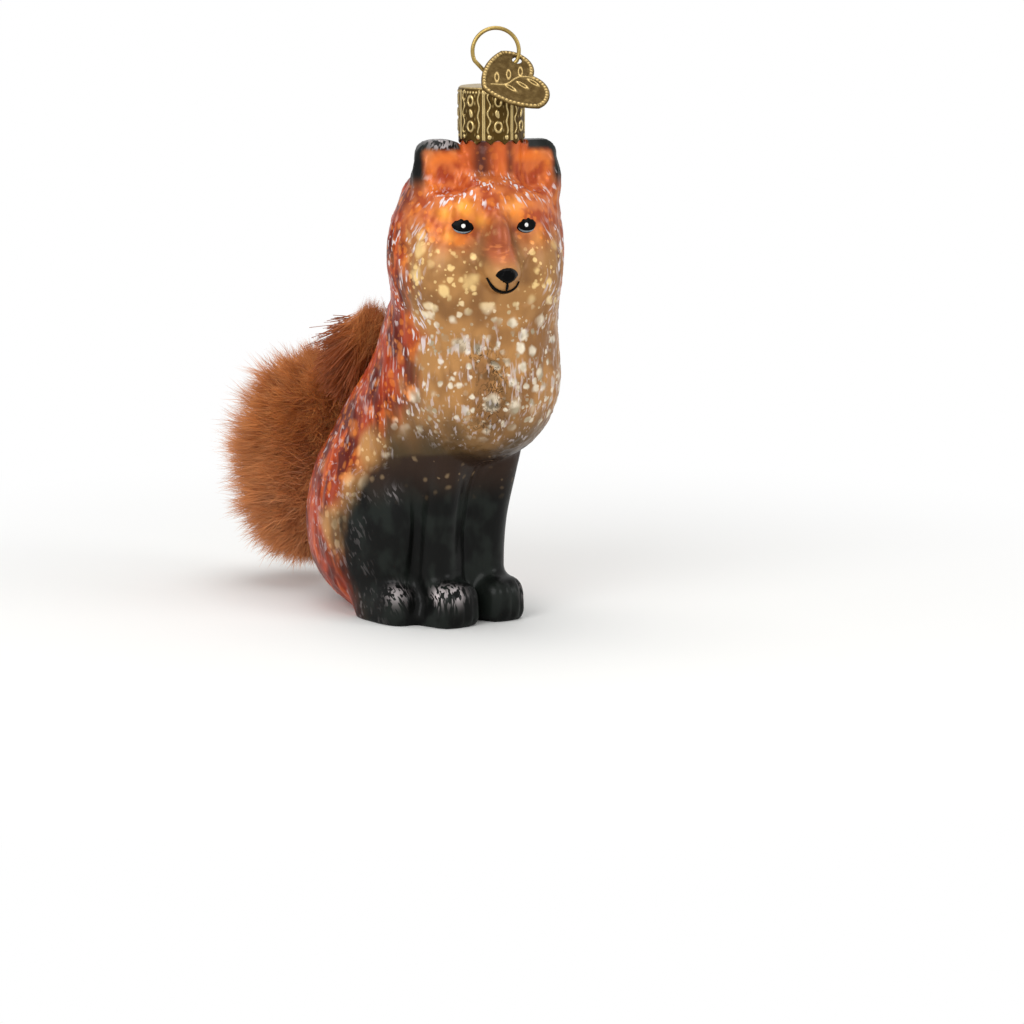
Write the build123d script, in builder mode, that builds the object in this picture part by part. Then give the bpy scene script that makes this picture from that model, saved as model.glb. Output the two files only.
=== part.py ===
from build123d import *
import os
from math import acos, cos, degrees, radians, sin, sqrt, tan

# A fox of blown glass for hanging up: a hollow glass body, a stamped metal cap on its neck,
# a wire hanger through the cap, a heart-shaped tag on the wire and a fur tail glued on.
# The fox looks along -Y, its left side is +X and its feet stand on Z = 0.

# The glass. Its swellings are given as shares of its height.
fox_height = 97.7
glass_wall = 1.0
head_turn = -20.0
neck_setback_share = 0.1633
ear_bowl_depth = 1.5
ear_bowl_reach = 3.6
ear_bowl_width = 8.0
ear_bowl_height = 8.6

# The cap, a stamped metal cup whose lower edge ends in points.
cap_diameter = 13.3
cap_height = 11.15
cap_overlap = 0.9
cap_sheet = 0.4
cap_neck_clearance = 0.08
cap_seat_clearance = 0.1
cap_ear_clearance = 0.3
cap_edge_radius = 0.6
cap_point_count = 14
cap_point_depth = 0.9
cap_rib_count = 7
cap_rib_width = 0.5
cap_rib_relief = 0.2

# The wire hanger, a loop whose two legs spread inside the neck.
wire_diameter = 0.8
loop_diameter = 9.86
loop_rise = 6.7
hanger_turn = -38.0
hanger_offset = 0.9
leg_spacing = 2.8
leg_bend_radius = 1.2
leg_straight = 4.0
leg_length = 19.4
leg_spread = 1.9
leg_flare_radius = 4.0
leg_hole_clearance = 0.1

# The heart tag, which lies on the cap's front rim with the wire through its hole.
tag_width = 16.6
tag_length = 12.6
tag_notch_depth = 1.3
tag_thickness = 0.45
tag_border_width = 0.9
tag_border_relief = 0.12
tag_hole_diameter = 1.9
tag_hole_off_axis = 5.0
tag_hole_from_top = 2.4
tag_hole_angle = -24.0
tag_front_slope = 39.0
tag_side_slope = -12.0
tag_turn = 27.0
lobe_top_share = 0.44
shoulder_drop_share = 0.34
flank_drop_share = 0.72
flank_width_share = 0.68

# The tail, fur on a leather strip.
strip_width = 6.0
strip_thickness = 1.2
glue_radius = 4.5
fur_clearance = 0.3
glue_clearance = 0.05

cut_overrun = 1.0

# All places and sizes of the glass forms below are shares of the fox's height.
# The head's axis, from which the places on the head are given to its left and forwards.
head_axis_shares = (-0.0217, -0.1432)

# Rows of an upright form: height, x, y, half width, half depth.
trunk_shares = [
    (0, -0.0151, 0.0807, 0.1129, 0.1482),
    (0.0605, -0.0181, 0.1129, 0.1482, 0.1996),
    (0.2016, -0.0202, 0.123, 0.1583, 0.2147),
    (0.2974, -0.0151, 0.0948, 0.1583, 0.2127),
    (0.3982, -0.0101, 0.0373, 0.1613, 0.2208),
    (0.5545, -0.003, -0.0766, 0.1653, 0.2047),
    (0.6352, -0.0091, -0.1079, 0.1653, 0.1845),
    (0.7057, -0.0161, -0.1311, 0.1563, 0.1532),
    (0.7763, -0.0202, -0.1391, 0.126, 0.1059),
]
right_foreleg_shares = [
    (0, -0.0635, -0.0615, 0.0494, 0.0534),
    (0.0807, -0.0635, -0.0534, 0.0464, 0.0504),
    (0.2016, -0.0635, -0.0534, 0.0474, 0.0534),
    (0.3327, -0.0665, -0.0665, 0.0575, 0.0736),
    (0.4335, -0.0665, -0.0807, 0.0665, 0.0907),
]
left_foreleg_shares = [
    (0, 0.0534, -0.0635, 0.0494, 0.0534),
    (0.0807, 0.0534, -0.0575, 0.0474, 0.0504),
    (0.2016, 0.0555, -0.0575, 0.0494, 0.0555),
    (0.3327, 0.0615, -0.0716, 0.0615, 0.0736),
    (0.4335, 0.0625, -0.0807, 0.0665, 0.0907),
]

# The same for the forms of the head: height, place to the left, place forwards, half width, half depth.
head_shares = [
    (0.6503, 0.004, -0.0101, 0.1462, 0.126),
    (0.7088, 0, -0.0071, 0.1724, 0.1391),
    (0.7783, 0, -0.0071, 0.1795, 0.1411),
    (0.8539, 0.002, -0.0091, 0.1664, 0.129),
    (0.9134, 0.006, -0.0202, 0.1391, 0.0978),
    (0.9558, 0.0151, -0.0181, 0.1038, 0.0645),
    (0.982, 0.0272, 0.004, 0.0635, 0.0585),
]
right_ear_shares = [
    (0.8469, -0.0867, 0.0081, 0.0504, 0.0504),
    (0.9376, -0.0807, 0.0141, 0.0565, 0.0383),
    (0.9779, -0.0786, 0.0101, 0.0454, 0.0313),
    (1.0, -0.0776, 0.004, 0.0262, 0.0171),
]
left_ear_shares = [
    (0.8469, 0.1139, 0.0081, 0.0504, 0.0504),
    (0.9376, 0.1119, 0.0141, 0.0565, 0.0383),
    (0.9739, 0.1109, 0.0101, 0.0454, 0.0313),
    (0.9951, 0.1109, 0.004, 0.0262, 0.0171),
]
# Rows of the muzzle: place forwards, height, half width, half height.
muzzle_shares = [
    (0.0615, 0.7824, 0.0786, 0.0827),
    (0.118, 0.7713, 0.0575, 0.0635),
    (0.1633, 0.7501, 0.0413, 0.0444),
    (0.1946, 0.744, 0.0272, 0.0282),
    (0.2047, 0.744, 0.0161, 0.0161),
]

# Rounded swellings: place (x, y, z) and radii (x, y, z).
rump_shares = ((-0.0151, 0.1875, 0.1744), (0.1482, 0.1744, 0.1744))
right_haunch_shares = ((-0.118, 0.1079, 0.2097), (0.0837, 0.1694, 0.1895))
left_haunch_shares = ((0.0867, 0.1079, 0.2097), (0.0817, 0.1694, 0.1895))
right_paw_shares = ((-0.0575, -0.0928, 0.0393), (0.0565, 0.0605, 0.0514))
left_paw_shares = ((0.0615, -0.0968, 0.0393), (0.0504, 0.0595, 0.0514))
right_foot_shares = ((-0.128, 0.0202, 0.0323), (0.0454, 0.0867, 0.0534))
left_foot_shares = ((0.0968, 0.0202, 0.0323), (0.0454, 0.0867, 0.0534))
hindquarter_shares = [rump_shares, right_haunch_shares, left_haunch_shares]
body_swelling_shares = hindquarter_shares + [
    right_paw_shares,
    left_paw_shares,
    right_foot_shares,
    left_foot_shares,
]
# Those that turn with the head: place (to the left, forwards, height) and radii (side, forwards, height).
chest_shares = ((0.0121, -0.0222, 0.5222), (0.1633, 0.1674, 0.1845))
right_cheek_shares = ((-0.0837, 0.0635, 0.734), (0.0716, 0.0766, 0.0968))
left_cheek_shares = ((0.0776, 0.0635, 0.734), (0.0716, 0.0766, 0.0968))
brow_shares = ((0, 0.0555, 0.864), (0.1129, 0.0746, 0.0605))
bridge_shares = ((0, 0.129, 0.8035), (0.0272, 0.0524, 0.0625))
head_swelling_shares = [
    chest_shares,
    right_cheek_shares,
    left_cheek_shares,
    brow_shares,
    bridge_shares,
]

# Painted knobs of solid glass on the face: the nose and the two eyes.
nose_shares = ((0, 0.2026, 0.7471), (0.0136, 0.0101, 0.0136))
right_eye_shares = ((-0.0665, 0.118, 0.8338), (0.0121, 0.0121, 0.0081))
left_eye_shares = ((0.0665, 0.118, 0.8318), (0.0121, 0.0121, 0.0081))

# The fur's rows: x, y, z and radius, as shares, from the bottom of the tail to its tip.
fur_shares = [
    (-0.0252, 0.4537, 0.0807, 0.0353),
    (-0.0252, 0.4789, 0.1563, 0.1059),
    (-0.0262, 0.4819, 0.2773, 0.1331),
    (-0.0302, 0.4507, 0.373, 0.1159),
    (-0.0363, 0.3579, 0.4436, 0.0756),
    (-0.0464, 0.2571, 0.5041, 0.0524),
    (-0.0585, 0.1815, 0.5747, 0.0353),
    (-0.0635, 0.1391, 0.6301, 0.0151),
]
# The strip stands upright behind the rump, then bends forward: (y, z) of its lower end, bend and upper end.
strip_shares = [(0.3791, 0.1512), (0.3791, 0.2621), (0.3478, 0.368)]
glue_height_share = 0.2016

cap_y = -neck_setback_share * fox_height
tail_x = fur_shares[0][0] * fox_height


def sized(shares, size=fox_height):
    """Turn shares of a size into millimetres."""
    return tuple(share * size for share in shares)


def on_head(side, forwards):
    """The x and y of a place given to the left and forwards of the head's axis, in millimetres."""
    axis_x, axis_y = sized(head_axis_shares)
    turn = radians(head_turn)
    x = axis_x + side * cos(turn) + forwards * sin(turn)
    y = axis_y + side * sin(turn) - forwards * cos(turn)
    return x, y


def ball(place, radii, turn):
    """A ball stretched to three radii, turned and put in its place."""
    with BuildPart() as form:
        Sphere(1)
        scale(by=tuple(radii))
    return form.part.moved(Location(place, (0, 0, turn)))


def body_swelling(shares, inset):
    """A rounded swelling of the body, drawn in by the inset."""
    place_shares, radius_shares = shares
    return ball(sized(place_shares), [radius - inset for radius in sized(radius_shares)], 0)


def head_swelling(shares, inset):
    """A rounded swelling that turns with the head, drawn in by the inset."""
    place_shares, radius_shares = shares
    side, forwards, height = sized(place_shares)
    radii = [radius - inset for radius in sized(radius_shares)]
    return ball((*on_head(side, forwards), height), radii, head_turn)


def upright(row_shares, on_the_head, bottom_inset, side_inset, top_inset):
    """An upright form through level ellipses, drawn in by the insets."""
    with BuildPart() as form:
        for index, row in enumerate(row_shares):
            height, x, y, half_width, half_depth = sized(row)
            if index == 0:
                height += bottom_inset
            if index == len(row_shares) - 1:
                height -= top_inset
            with BuildSketch(Plane.XY.offset(height)):
                with Locations(on_head(x, y) if on_the_head else (x, y)):
                    turn = head_turn if on_the_head else 0
                    Ellipse(half_width - side_inset, half_depth - side_inset, rotation=turn)
        loft()
    return form.part


def muzzle(inset):
    """The muzzle, from the face to just behind the nose, drawn in by the inset."""
    ahead = Vector(sin(radians(head_turn)), -cos(radians(head_turn)), 0)
    with BuildPart() as form:
        for index, row in enumerate(muzzle_shares):
            forwards, height, half_width, half_height = sized(row)
            if index == len(muzzle_shares) - 1:
                forwards -= inset
            origin = (*on_head(0, forwards), height)
            with BuildSketch(Plane(origin=origin, x_dir=Vector(0, 0, 1), z_dir=ahead)):
                Ellipse(half_height - inset, half_width - inset)
        loft()
    return form.part


def glass_forms(inset):
    """All forms that the glass is blown to, drawn in by the inset."""
    forms = [
        upright(trunk_shares, False, inset, inset, 0),
        upright(head_shares, True, 0, inset, inset),
        upright(right_ear_shares, True, 0, inset, inset),
        upright(left_ear_shares, True, 0, inset, inset),
        upright(right_foreleg_shares, False, inset, inset, 0),
        upright(left_foreleg_shares, False, inset, inset, 0),
        muzzle(inset),
    ]
    forms += [body_swelling(shares, inset) for shares in body_swelling_shares]
    forms += [head_swelling(shares, inset) for shares in head_swelling_shares]
    return forms


def hindquarters(growth):
    """The trunk, rump and haunches, grown by a clearance, to cut the tail with."""
    with BuildPart() as form:
        add(upright(trunk_shares, False, 0, -growth, 0))
        for shares in hindquarter_shares:
            add(body_swelling(shares, -growth))
    return form.part


# The cap's levels, and the neck that fills the cap.
cap_bottom = fox_height - cap_overlap
cap_top = cap_bottom + cap_height
cap_wall_radius = cap_diameter / 2 - cap_rib_relief
cap_bore_radius = cap_wall_radius - cap_sheet
neck_radius = cap_bore_radius - cap_neck_clearance
neck_top = cap_top - cap_sheet - cap_seat_clearance
neck_height = neck_top - head_shares[-3][0] * fox_height


def ear_bowls(growth):
    """The hollows pressed into the fronts of the ears, grown by a wall."""
    bowls = []
    for ear_shares in (right_ear_shares, left_ear_shares):
        height, side, forwards, _, half_depth = sized(ear_shares[1])
        place = (*on_head(side, forwards + half_depth + ear_bowl_reach - ear_bowl_depth), height)
        radii = (ear_bowl_width / 2 + growth, ear_bowl_reach + growth, ear_bowl_height / 2 + growth)
        bowls.append(ball(place, radii, head_turn))
    return bowls


def cap_room(growth):
    """The room that the glass leaves round the cap, grown by a wall."""
    radius = cap_diameter / 2 + cap_ear_clearance + growth
    place = (0, cap_y, cap_bottom - cap_ear_clearance - growth)
    with BuildPart() as room:
        with Locations(place):
            Cylinder(radius, cap_height, align=(Align.CENTER, Align.CENTER, Align.MIN))
    return room.part


# The solid mass of the fox, with the neck standing in the cap's room, then the space inside it.
with BuildPart() as glass_mass:
    for form in glass_forms(0):
        add(form)
    split(bisect_by=Plane.XY, keep=Keep.TOP)
    add(ear_bowls(0), mode=Mode.SUBTRACT)
    add(cap_room(0), mode=Mode.SUBTRACT)
    with Locations((0, cap_y, neck_top)):
        Cylinder(neck_radius, neck_height, align=(Align.CENTER, Align.CENTER, Align.MAX))

with BuildPart() as glass_space:
    for form in glass_forms(glass_wall):
        add(form)
    split(bisect_by=Plane.XY.offset(glass_wall), keep=Keep.TOP)
    add(ear_bowls(glass_wall), mode=Mode.SUBTRACT)
    add(cap_room(glass_wall), mode=Mode.SUBTRACT)

with BuildPart() as glass_body:
    add(glass_mass.part)
    add(glass_space.part, mode=Mode.SUBTRACT)
    with Locations((0, cap_y, neck_top)):
        Cylinder(
            neck_radius - glass_wall,
            neck_height + 2 * glass_wall,
            align=(Align.CENTER, Align.CENTER, Align.MAX),
            mode=Mode.SUBTRACT,
        )
    for shares in (nose_shares, right_eye_shares, left_eye_shares):
        add(head_swelling(shares, 0))

# The hanger stands in a plane of its own: its x runs along the loop, its y upwards.
across = Vector(cos(radians(hanger_turn)), sin(radians(hanger_turn)), 0)
towards_front = Vector(sin(radians(hanger_turn)), -cos(radians(hanger_turn)), 0)
hanger_plane = Plane(origin=Vector(0, cap_y, 0) + across * hanger_offset, x_dir=across, z_dir=towards_front)
loop_radius = (loop_diameter - wire_diameter) / 2
loop_height = cap_top + loop_rise
leg_x = leg_spacing / 2

# The stamped cap: a cup with raised ribs, its rim cut into points, with two holes for the wire.
with BuildPart() as cap_notch:
    notch_half_width = cap_diameter * sin(radians(180 / cap_point_count)) / 2
    with BuildSketch(Plane.YZ.offset(cap_bore_radius / 2)):
        with BuildLine():
            Polyline(
                (-notch_half_width, -cut_overrun),
                (-notch_half_width, 0),
                (0, cap_point_depth),
                (notch_half_width, 0),
                (notch_half_width, -cut_overrun),
                close=True,
            )
        make_face()
    extrude(amount=cap_diameter)

with BuildPart() as cap:
    with BuildSketch(Plane.XY.offset(cap_bottom)):
        Circle(cap_wall_radius)
    extrude(amount=cap_height)
    fillet(cap.faces().sort_by(Axis.Z)[-1].edges(), radius=cap_edge_radius)
    with BuildSketch(Plane.XY.offset(cap_bottom)):
        Circle(cap_bore_radius)
    extrude(amount=cap_height - cap_sheet, mode=Mode.SUBTRACT)
    rib_height = cap_height - cap_edge_radius - cap_point_depth
    with BuildSketch(Plane.XY.offset(cap_bottom + cap_point_depth)):
        with PolarLocations(cap_wall_radius, cap_rib_count, start_angle=hanger_turn):
            Rectangle(2 * cap_rib_relief, cap_rib_width)
    extrude(amount=rib_height)
    with PolarLocations(0, cap_point_count):
        add(cap_notch.part.moved(Location((0, 0, cap_bottom))), mode=Mode.SUBTRACT)
    with BuildSketch(Plane(origin=(0, 0, cap_top), x_dir=across)):
        with Locations((hanger_offset - leg_x, 0), (hanger_offset + leg_x, 0)):
            Circle(wire_diameter / 2 + leg_hole_clearance)
    extrude(amount=-2 * cap_sheet, mode=Mode.SUBTRACT)
cap.part = cap.part.moved(Location((0, cap_y, 0)))

# The wire: up the left leg, round a small bend, over the loop and down again.
bend_x = leg_x + leg_bend_radius
bend_angle = degrees(acos(bend_x / (loop_radius + leg_bend_radius)))
bend_height = loop_height - sqrt((loop_radius + leg_bend_radius) ** 2 - bend_x ** 2)
flare_height = cap_top - leg_straight
leg_end = cap_top - leg_length
with BuildPart() as hanger:
    with BuildLine(hanger_plane) as wire_line:
        FilletPolyline(
            (-leg_x - leg_spread, leg_end), (-leg_x, flare_height), (-leg_x, bend_height), radius=leg_flare_radius
        )
        CenterArc((-bend_x, bend_height), leg_bend_radius, 0, bend_angle)
        CenterArc((0, loop_height), loop_radius, 180 + bend_angle, -180 - 2 * bend_angle)
        CenterArc((bend_x, bend_height), leg_bend_radius, 180 - bend_angle, bend_angle)
        FilletPolyline(
            (leg_x, bend_height), (leg_x, flare_height), (leg_x + leg_spread, leg_end), radius=leg_flare_radius
        )
    with BuildSketch(Plane(origin=wire_line.wires()[0] @ 0, z_dir=wire_line.wires()[0] % 0)):
        Circle(wire_diameter / 2)
    sweep(path=wire_line.wires()[0])

# The tag's plane goes through the wire at the tag's hole and slopes down to the front.
hole_angle = radians(tag_hole_angle)
hole_place = hanger_plane.from_local_coords(
    (loop_radius * cos(hole_angle), loop_height + loop_radius * sin(hole_angle), 0)
)
side_rise = tan(radians(tag_side_slope))
front_drop = tan(radians(tag_front_slope))
tag_normal = (Vector(0, 0, 1) - across * side_rise + towards_front * front_drop).normalized()
level_line = (across - tag_normal * across.dot(tag_normal)).normalized()
heart_axis = level_line.rotate(Axis((0, 0, 0), tag_normal), tag_turn)
tag_plane = Plane(origin=hole_place, x_dir=heart_axis, z_dir=tag_normal)


def heart_half(side):
    """One side of the heart: round the lobe from the notch, then down the flank to the tip."""
    top = tag_hole_from_top
    axis_y = -tag_hole_off_axis
    half = side * tag_width / 2
    notch = (top - tag_notch_depth, axis_y)
    lobe_top = (top, axis_y + lobe_top_share * half)
    shoulder = (top - shoulder_drop_share * tag_length, axis_y + half)
    flank = (top - flank_drop_share * tag_length, axis_y + flank_width_share * half)
    tip = (top - tag_length, axis_y)
    ThreePointArc(notch, lobe_top, shoulder)
    ThreePointArc(shoulder, flank, tip)


with BuildPart() as tag:
    with BuildSketch(tag_plane) as heart:
        with BuildLine():
            heart_half(1)
            heart_half(-1)
        make_face()
    extrude(amount=tag_thickness / 2, both=True)
    with BuildSketch(tag_plane):
        add(heart.faces()[0])
        offset(amount=-tag_border_width, mode=Mode.SUBTRACT)
    extrude(amount=tag_thickness / 2 + tag_border_relief, both=True)
    with BuildSketch(tag_plane):
        Circle(tag_hole_diameter / 2)
    extrude(amount=tag_thickness + tag_border_relief, both=True, mode=Mode.SUBTRACT)

# The tail: a leather strip, the glue that holds it to the rump, and the fur round both.
with BuildPart() as tail_backing:
    strip_bottom, strip_bend, strip_top = [sized(point) for point in strip_shares]
    with BuildSketch(Plane.YZ.offset(tail_x - strip_width / 2)):
        with BuildLine():
            Line(strip_bottom, strip_bend)
            TangentArc(strip_bend, strip_top, tangent=(0, 1))
        trace(line_width=strip_thickness)
    extrude(amount=strip_width)

with BuildPart() as tail_glue:
    with BuildSketch(Plane.XZ.offset(strip_thickness / 2 - strip_bottom[0])):
        with Locations((tail_x, glue_height_share * fox_height)):
            Circle(glue_radius)
    extrude(amount=glue_radius)
    add(hindquarters(glue_clearance), mode=Mode.SUBTRACT)

with BuildPart() as tail_fur:
    fur_rows = [sized(row) for row in fur_shares]
    for index, (x, y, z, radius) in enumerate(fur_rows):
        before = Vector(fur_rows[max(index - 1, 0)][:3])
        after = Vector(fur_rows[min(index + 1, len(fur_rows) - 1)][:3])
        with BuildSketch(Plane(origin=(x, y, z), x_dir=(1, 0, 0), z_dir=after - before)):
            Circle(radius)
    loft()
    add(hindquarters(fur_clearance), mode=Mode.SUBTRACT)
    add(tail_backing.part, mode=Mode.SUBTRACT)
    add(tail_glue.part, mode=Mode.SUBTRACT)

glass_body.part.label = "glass_body"
cap.part.label = "cap"
hanger.part.label = "hanger"
tag.part.label = "tag"
tail_backing.part.label = "tail_backing"
tail_glue.part.label = "tail_glue"
tail_fur.part.label = "tail_fur"

os.makedirs("parts", exist_ok=True)
export_step(glass_body.part, "parts/glass_body.step")
export_step(cap.part, "parts/cap.step")
export_step(hanger.part, "parts/hanger.step")
export_step(tag.part, "parts/tag.step")
export_step(tail_backing.part, "parts/tail_backing.step")
export_step(tail_glue.part, "parts/tail_glue.step")
export_step(tail_fur.part, "parts/tail_fur.step")
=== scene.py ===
import functools
import math
import bpy
import numpy as np
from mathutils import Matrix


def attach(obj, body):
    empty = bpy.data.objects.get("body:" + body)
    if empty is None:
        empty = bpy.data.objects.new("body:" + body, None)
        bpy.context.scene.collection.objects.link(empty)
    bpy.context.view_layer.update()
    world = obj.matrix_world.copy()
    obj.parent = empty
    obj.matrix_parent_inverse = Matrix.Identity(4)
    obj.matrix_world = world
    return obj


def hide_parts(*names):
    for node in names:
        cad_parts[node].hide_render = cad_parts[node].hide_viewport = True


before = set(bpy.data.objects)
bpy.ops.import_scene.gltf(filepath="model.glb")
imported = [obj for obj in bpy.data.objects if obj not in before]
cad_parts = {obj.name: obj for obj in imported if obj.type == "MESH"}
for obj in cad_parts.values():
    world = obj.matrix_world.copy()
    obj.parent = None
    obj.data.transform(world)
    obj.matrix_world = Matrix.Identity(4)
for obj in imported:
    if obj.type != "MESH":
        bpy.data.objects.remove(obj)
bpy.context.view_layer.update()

import openvdb
from bpy.props import FloatProperty, FloatVectorProperty, IntProperty, PointerProperty
from mathutils import Matrix, Vector
from mathutils.bvhtree import BVHTree

bl_info = {
    "name": "Glass Fox Figurine",
    "version": (1, 0, 0),
    "blender": (4, 5, 0),
    "location": "View3D > Sidebar > Glass Fox",
    "description": "Dresses the blown-glass fox with its lacquer, cap, wire, tag and fur tail",
    "category": "Object",
}
MM = 0.001
# The fox's forms, in the same frame and shares as its solids. Lengths are in millimetres.
FOX_HEIGHT = 97.7
HEAD_TURN = math.radians(-20)
HEAD_AXIS_SHARES = (-0.0217, -0.1432)
NECK_SETBACK_SHARE = 0.1633
TRUNK_SHARES = [
    (0, -0.0151, 0.0807, 0.1129, 0.1482),
    (0.0605, -0.0181, 0.1129, 0.1482, 0.1996),
    (0.2016, -0.0202, 0.123, 0.1583, 0.2147),
    (0.2974, -0.0151, 0.0948, 0.1583, 0.2127),
    (0.3982, -0.0101, 0.0373, 0.1613, 0.2208),
    (0.5545, -0.003, -0.0766, 0.1653, 0.2047),
    (0.6352, -0.0091, -0.1079, 0.1653, 0.1845),
    (0.7057, -0.0161, -0.1311, 0.1563, 0.1532),
    (0.7763, -0.0202, -0.1391, 0.126, 0.1059),
]
FORELEG_SHARES = [
    [
        (0, -0.0635, -0.0615, 0.0494, 0.0534),
        (0.0807, -0.0635, -0.0534, 0.0464, 0.0504),
        (0.2016, -0.0635, -0.0534, 0.0474, 0.0534),
        (0.3327, -0.0665, -0.0665, 0.0575, 0.0736),
        (0.4335, -0.0665, -0.0807, 0.0665, 0.0907),
    ],
    [
        (0, 0.0534, -0.0635, 0.0494, 0.0534),
        (0.0807, 0.0534, -0.0575, 0.0474, 0.0504),
        (0.2016, 0.0555, -0.0575, 0.0494, 0.0555),
        (0.3327, 0.0615, -0.0716, 0.0615, 0.0736),
        (0.4335, 0.0625, -0.0807, 0.0665, 0.0907),
    ],
]
HEAD_SHARES = [
    (0.6503, 0.004, -0.0101, 0.1462, 0.126),
    (0.7088, 0, -0.0071, 0.1724, 0.1391),
    (0.7783, 0, -0.0071, 0.1795, 0.1411),
    (0.8539, 0.002, -0.0091, 0.1664, 0.129),
    (0.9134, 0.006, -0.0202, 0.1391, 0.0978),
    (0.9558, 0.0151, -0.0181, 0.1038, 0.0645),
    (0.982, 0.0272, 0.004, 0.0635, 0.0585),
]
EAR_SHARES = [
    [
        (0.8469, -0.0867, 0.0081, 0.0504, 0.0504),
        (0.9376, -0.0807, 0.0141, 0.0565, 0.0383),
        (0.9779, -0.0786, 0.0101, 0.0454, 0.0313),
        (1.0, -0.0776, 0.004, 0.0262, 0.0171),
    ],
    [
        (0.8469, 0.1139, 0.0081, 0.0504, 0.0504),
        (0.9376, 0.1119, 0.0141, 0.0565, 0.0383),
        (0.9739, 0.1109, 0.0101, 0.0454, 0.0313),
        (0.9951, 0.1109, 0.004, 0.0262, 0.0171),
    ],
]
MUZZLE_SHARES = [
    (0.0615, 0.7824, 0.0786, 0.0827),
    (0.118, 0.7713, 0.0575, 0.0635),
    (0.1633, 0.7501, 0.0413, 0.0444),
    (0.1946, 0.744, 0.0272, 0.0282),
    (0.2047, 0.744, 0.0161, 0.0161),
]
BODY_SWELLING_SHARES = [
    ((-0.0151, 0.1875, 0.1744), (0.1482, 0.1744, 0.1744)),
    ((-0.118, 0.1079, 0.2097), (0.0837, 0.1694, 0.1895)),
    ((0.0867, 0.1079, 0.2097), (0.0817, 0.1694, 0.1895)),
    ((-0.0575, -0.0928, 0.0393), (0.0565, 0.0605, 0.0514)),
    ((0.0615, -0.0968, 0.0393), (0.0504, 0.0595, 0.0514)),
    ((-0.128, 0.0202, 0.0323), (0.0454, 0.0867, 0.0534)),
    ((0.0968, 0.0202, 0.0323), (0.0454, 0.0867, 0.0534)),
]
HEAD_SWELLING_SHARES = [
    ((0.0121, -0.0222, 0.5222), (0.1633, 0.1674, 0.1845)),
    ((-0.0837, 0.0635, 0.734), (0.0716, 0.0766, 0.0968)),
    ((0.0776, 0.0635, 0.734), (0.0716, 0.0766, 0.0968)),
    ((0, 0.0555, 0.864), (0.1129, 0.0746, 0.0605)),
    ((0, 0.129, 0.8035), (0.0272, 0.0524, 0.0625)),
]
NECK_RADIUS, NECK_BORE, NECK_TOP, NECK_BORE_DEPTH, NECK_LOW = 5.97, 4.97, 107.45, 20.2, 89.2
CAP_ROOM_RADIUS, CAP_ROOM_LOW = 6.95, 96.5
# The hollow in each ear: its depth, its reach forwards, half its width and half its height.
BOWL_DEPTH, BOWL_RADII, BOWL_POWER = 1.5, (4.0, 3.6, 4.3), 2.6
# The arch that each ear is cut to: its least half width, where it starts and its radii.
EAR_HALF_WIDTH, EAR_ARCH_LOW, EAR_ARCH = 5.2, 91.0, (5.5, 6.6)
# How widely the forms run into each other.
TRUNK_BLEND, LEG_BLEND, PAW_BLEND, CHEST_BLEND, HEAD_BLEND = 2.4, 1.3, 2.0, 2.0, 3.0
MUZZLE_BLEND, BRIDGE_BLEND, EAR_BLEND, BOWL_BLEND, NECK_BLEND = 2.2, 1.6, 1.2, 1.5, 0.8
GLASS_BOX = (-22, -37, -1), (20, 41, 108.6)
EYE_SIDE, EYE_FORWARDS, EYE_HEIGHT, EYE_HEIGHTS = 6.5, 11.5, 81.5, (81.6, 81.4)
# How many cells of noise there are before it repeats, and how far it is moved to stay above 0.
NOISE_CELLS, NOISE_START = 32, 500.0


def ramp(low, high, value):
    """0 below low, 1 above high, and a smooth ramp between them."""
    share = np.clip((value - low) / (high - low), 0, 1)
    return share * share * (3 - 2 * share)


def band(low, low_full, high_full, high, value):
    """1 between two smooth ramps, one up and one down."""
    return ramp(low, low_full, value) * ramp(high, high_full, value)


def ridge(value, middle, reach):
    """1 at a middle, falling off on both sides within about its reach."""
    return np.exp(-(((value - middle) / reach) ** 2))


def lattice_noise(points, size, seed):
    """Smooth noise from -1 to 1 at each point; size is its grain, in millimetres, one for each axis."""
    table = np.random.default_rng(seed).uniform(-1, 1, (NOISE_CELLS,) * 3).astype(np.float32)
    place = points / np.array(size, np.float32) + NOISE_START
    cell = np.floor(place).astype(np.int64)
    share = (place - cell).astype(np.float32)
    share = share * share * (3 - 2 * share)
    value = np.zeros(len(points), np.float32)
    for corner in np.ndindex(2, 2, 2):
        index = (cell + corner) % NOISE_CELLS
        weight = np.prod(np.where(np.array(corner) == 1, share, 1 - share), axis=1)
        value += weight * table[index[:, 0], index[:, 1], index[:, 2]]
    return value


def smooth_rows(knots, rows, where):
    """Rows of values at knots, read smoothly at where."""
    slopes = np.gradient(rows, knots, axis=0)
    where = np.clip(where, knots[0], knots[-1])
    index = np.clip(np.searchsorted(knots, where) - 1, 0, len(knots) - 2)
    span = (knots[index + 1] - knots[index])[..., None]
    t = (where - knots[index])[..., None] / span
    start, end = rows[index], rows[index + 1]
    value = (2 * t**3 - 3 * t**2 + 1) * start + (3 * t**2 - 2 * t**3) * end
    value += span * ((t**3 - 2 * t**2 + t) * slopes[index] + (t**3 - t**2) * slopes[index + 1])
    return np.moveaxis(value, -1, 0)


def read_rows(rows, where):
    """The fox's rows of sizes read at where, a place along their first column, all in millimetres."""
    rows = np.array(rows) * FOX_HEIGHT
    return smooth_rows(rows[:, 0], rows[:, 1:], where)


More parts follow.
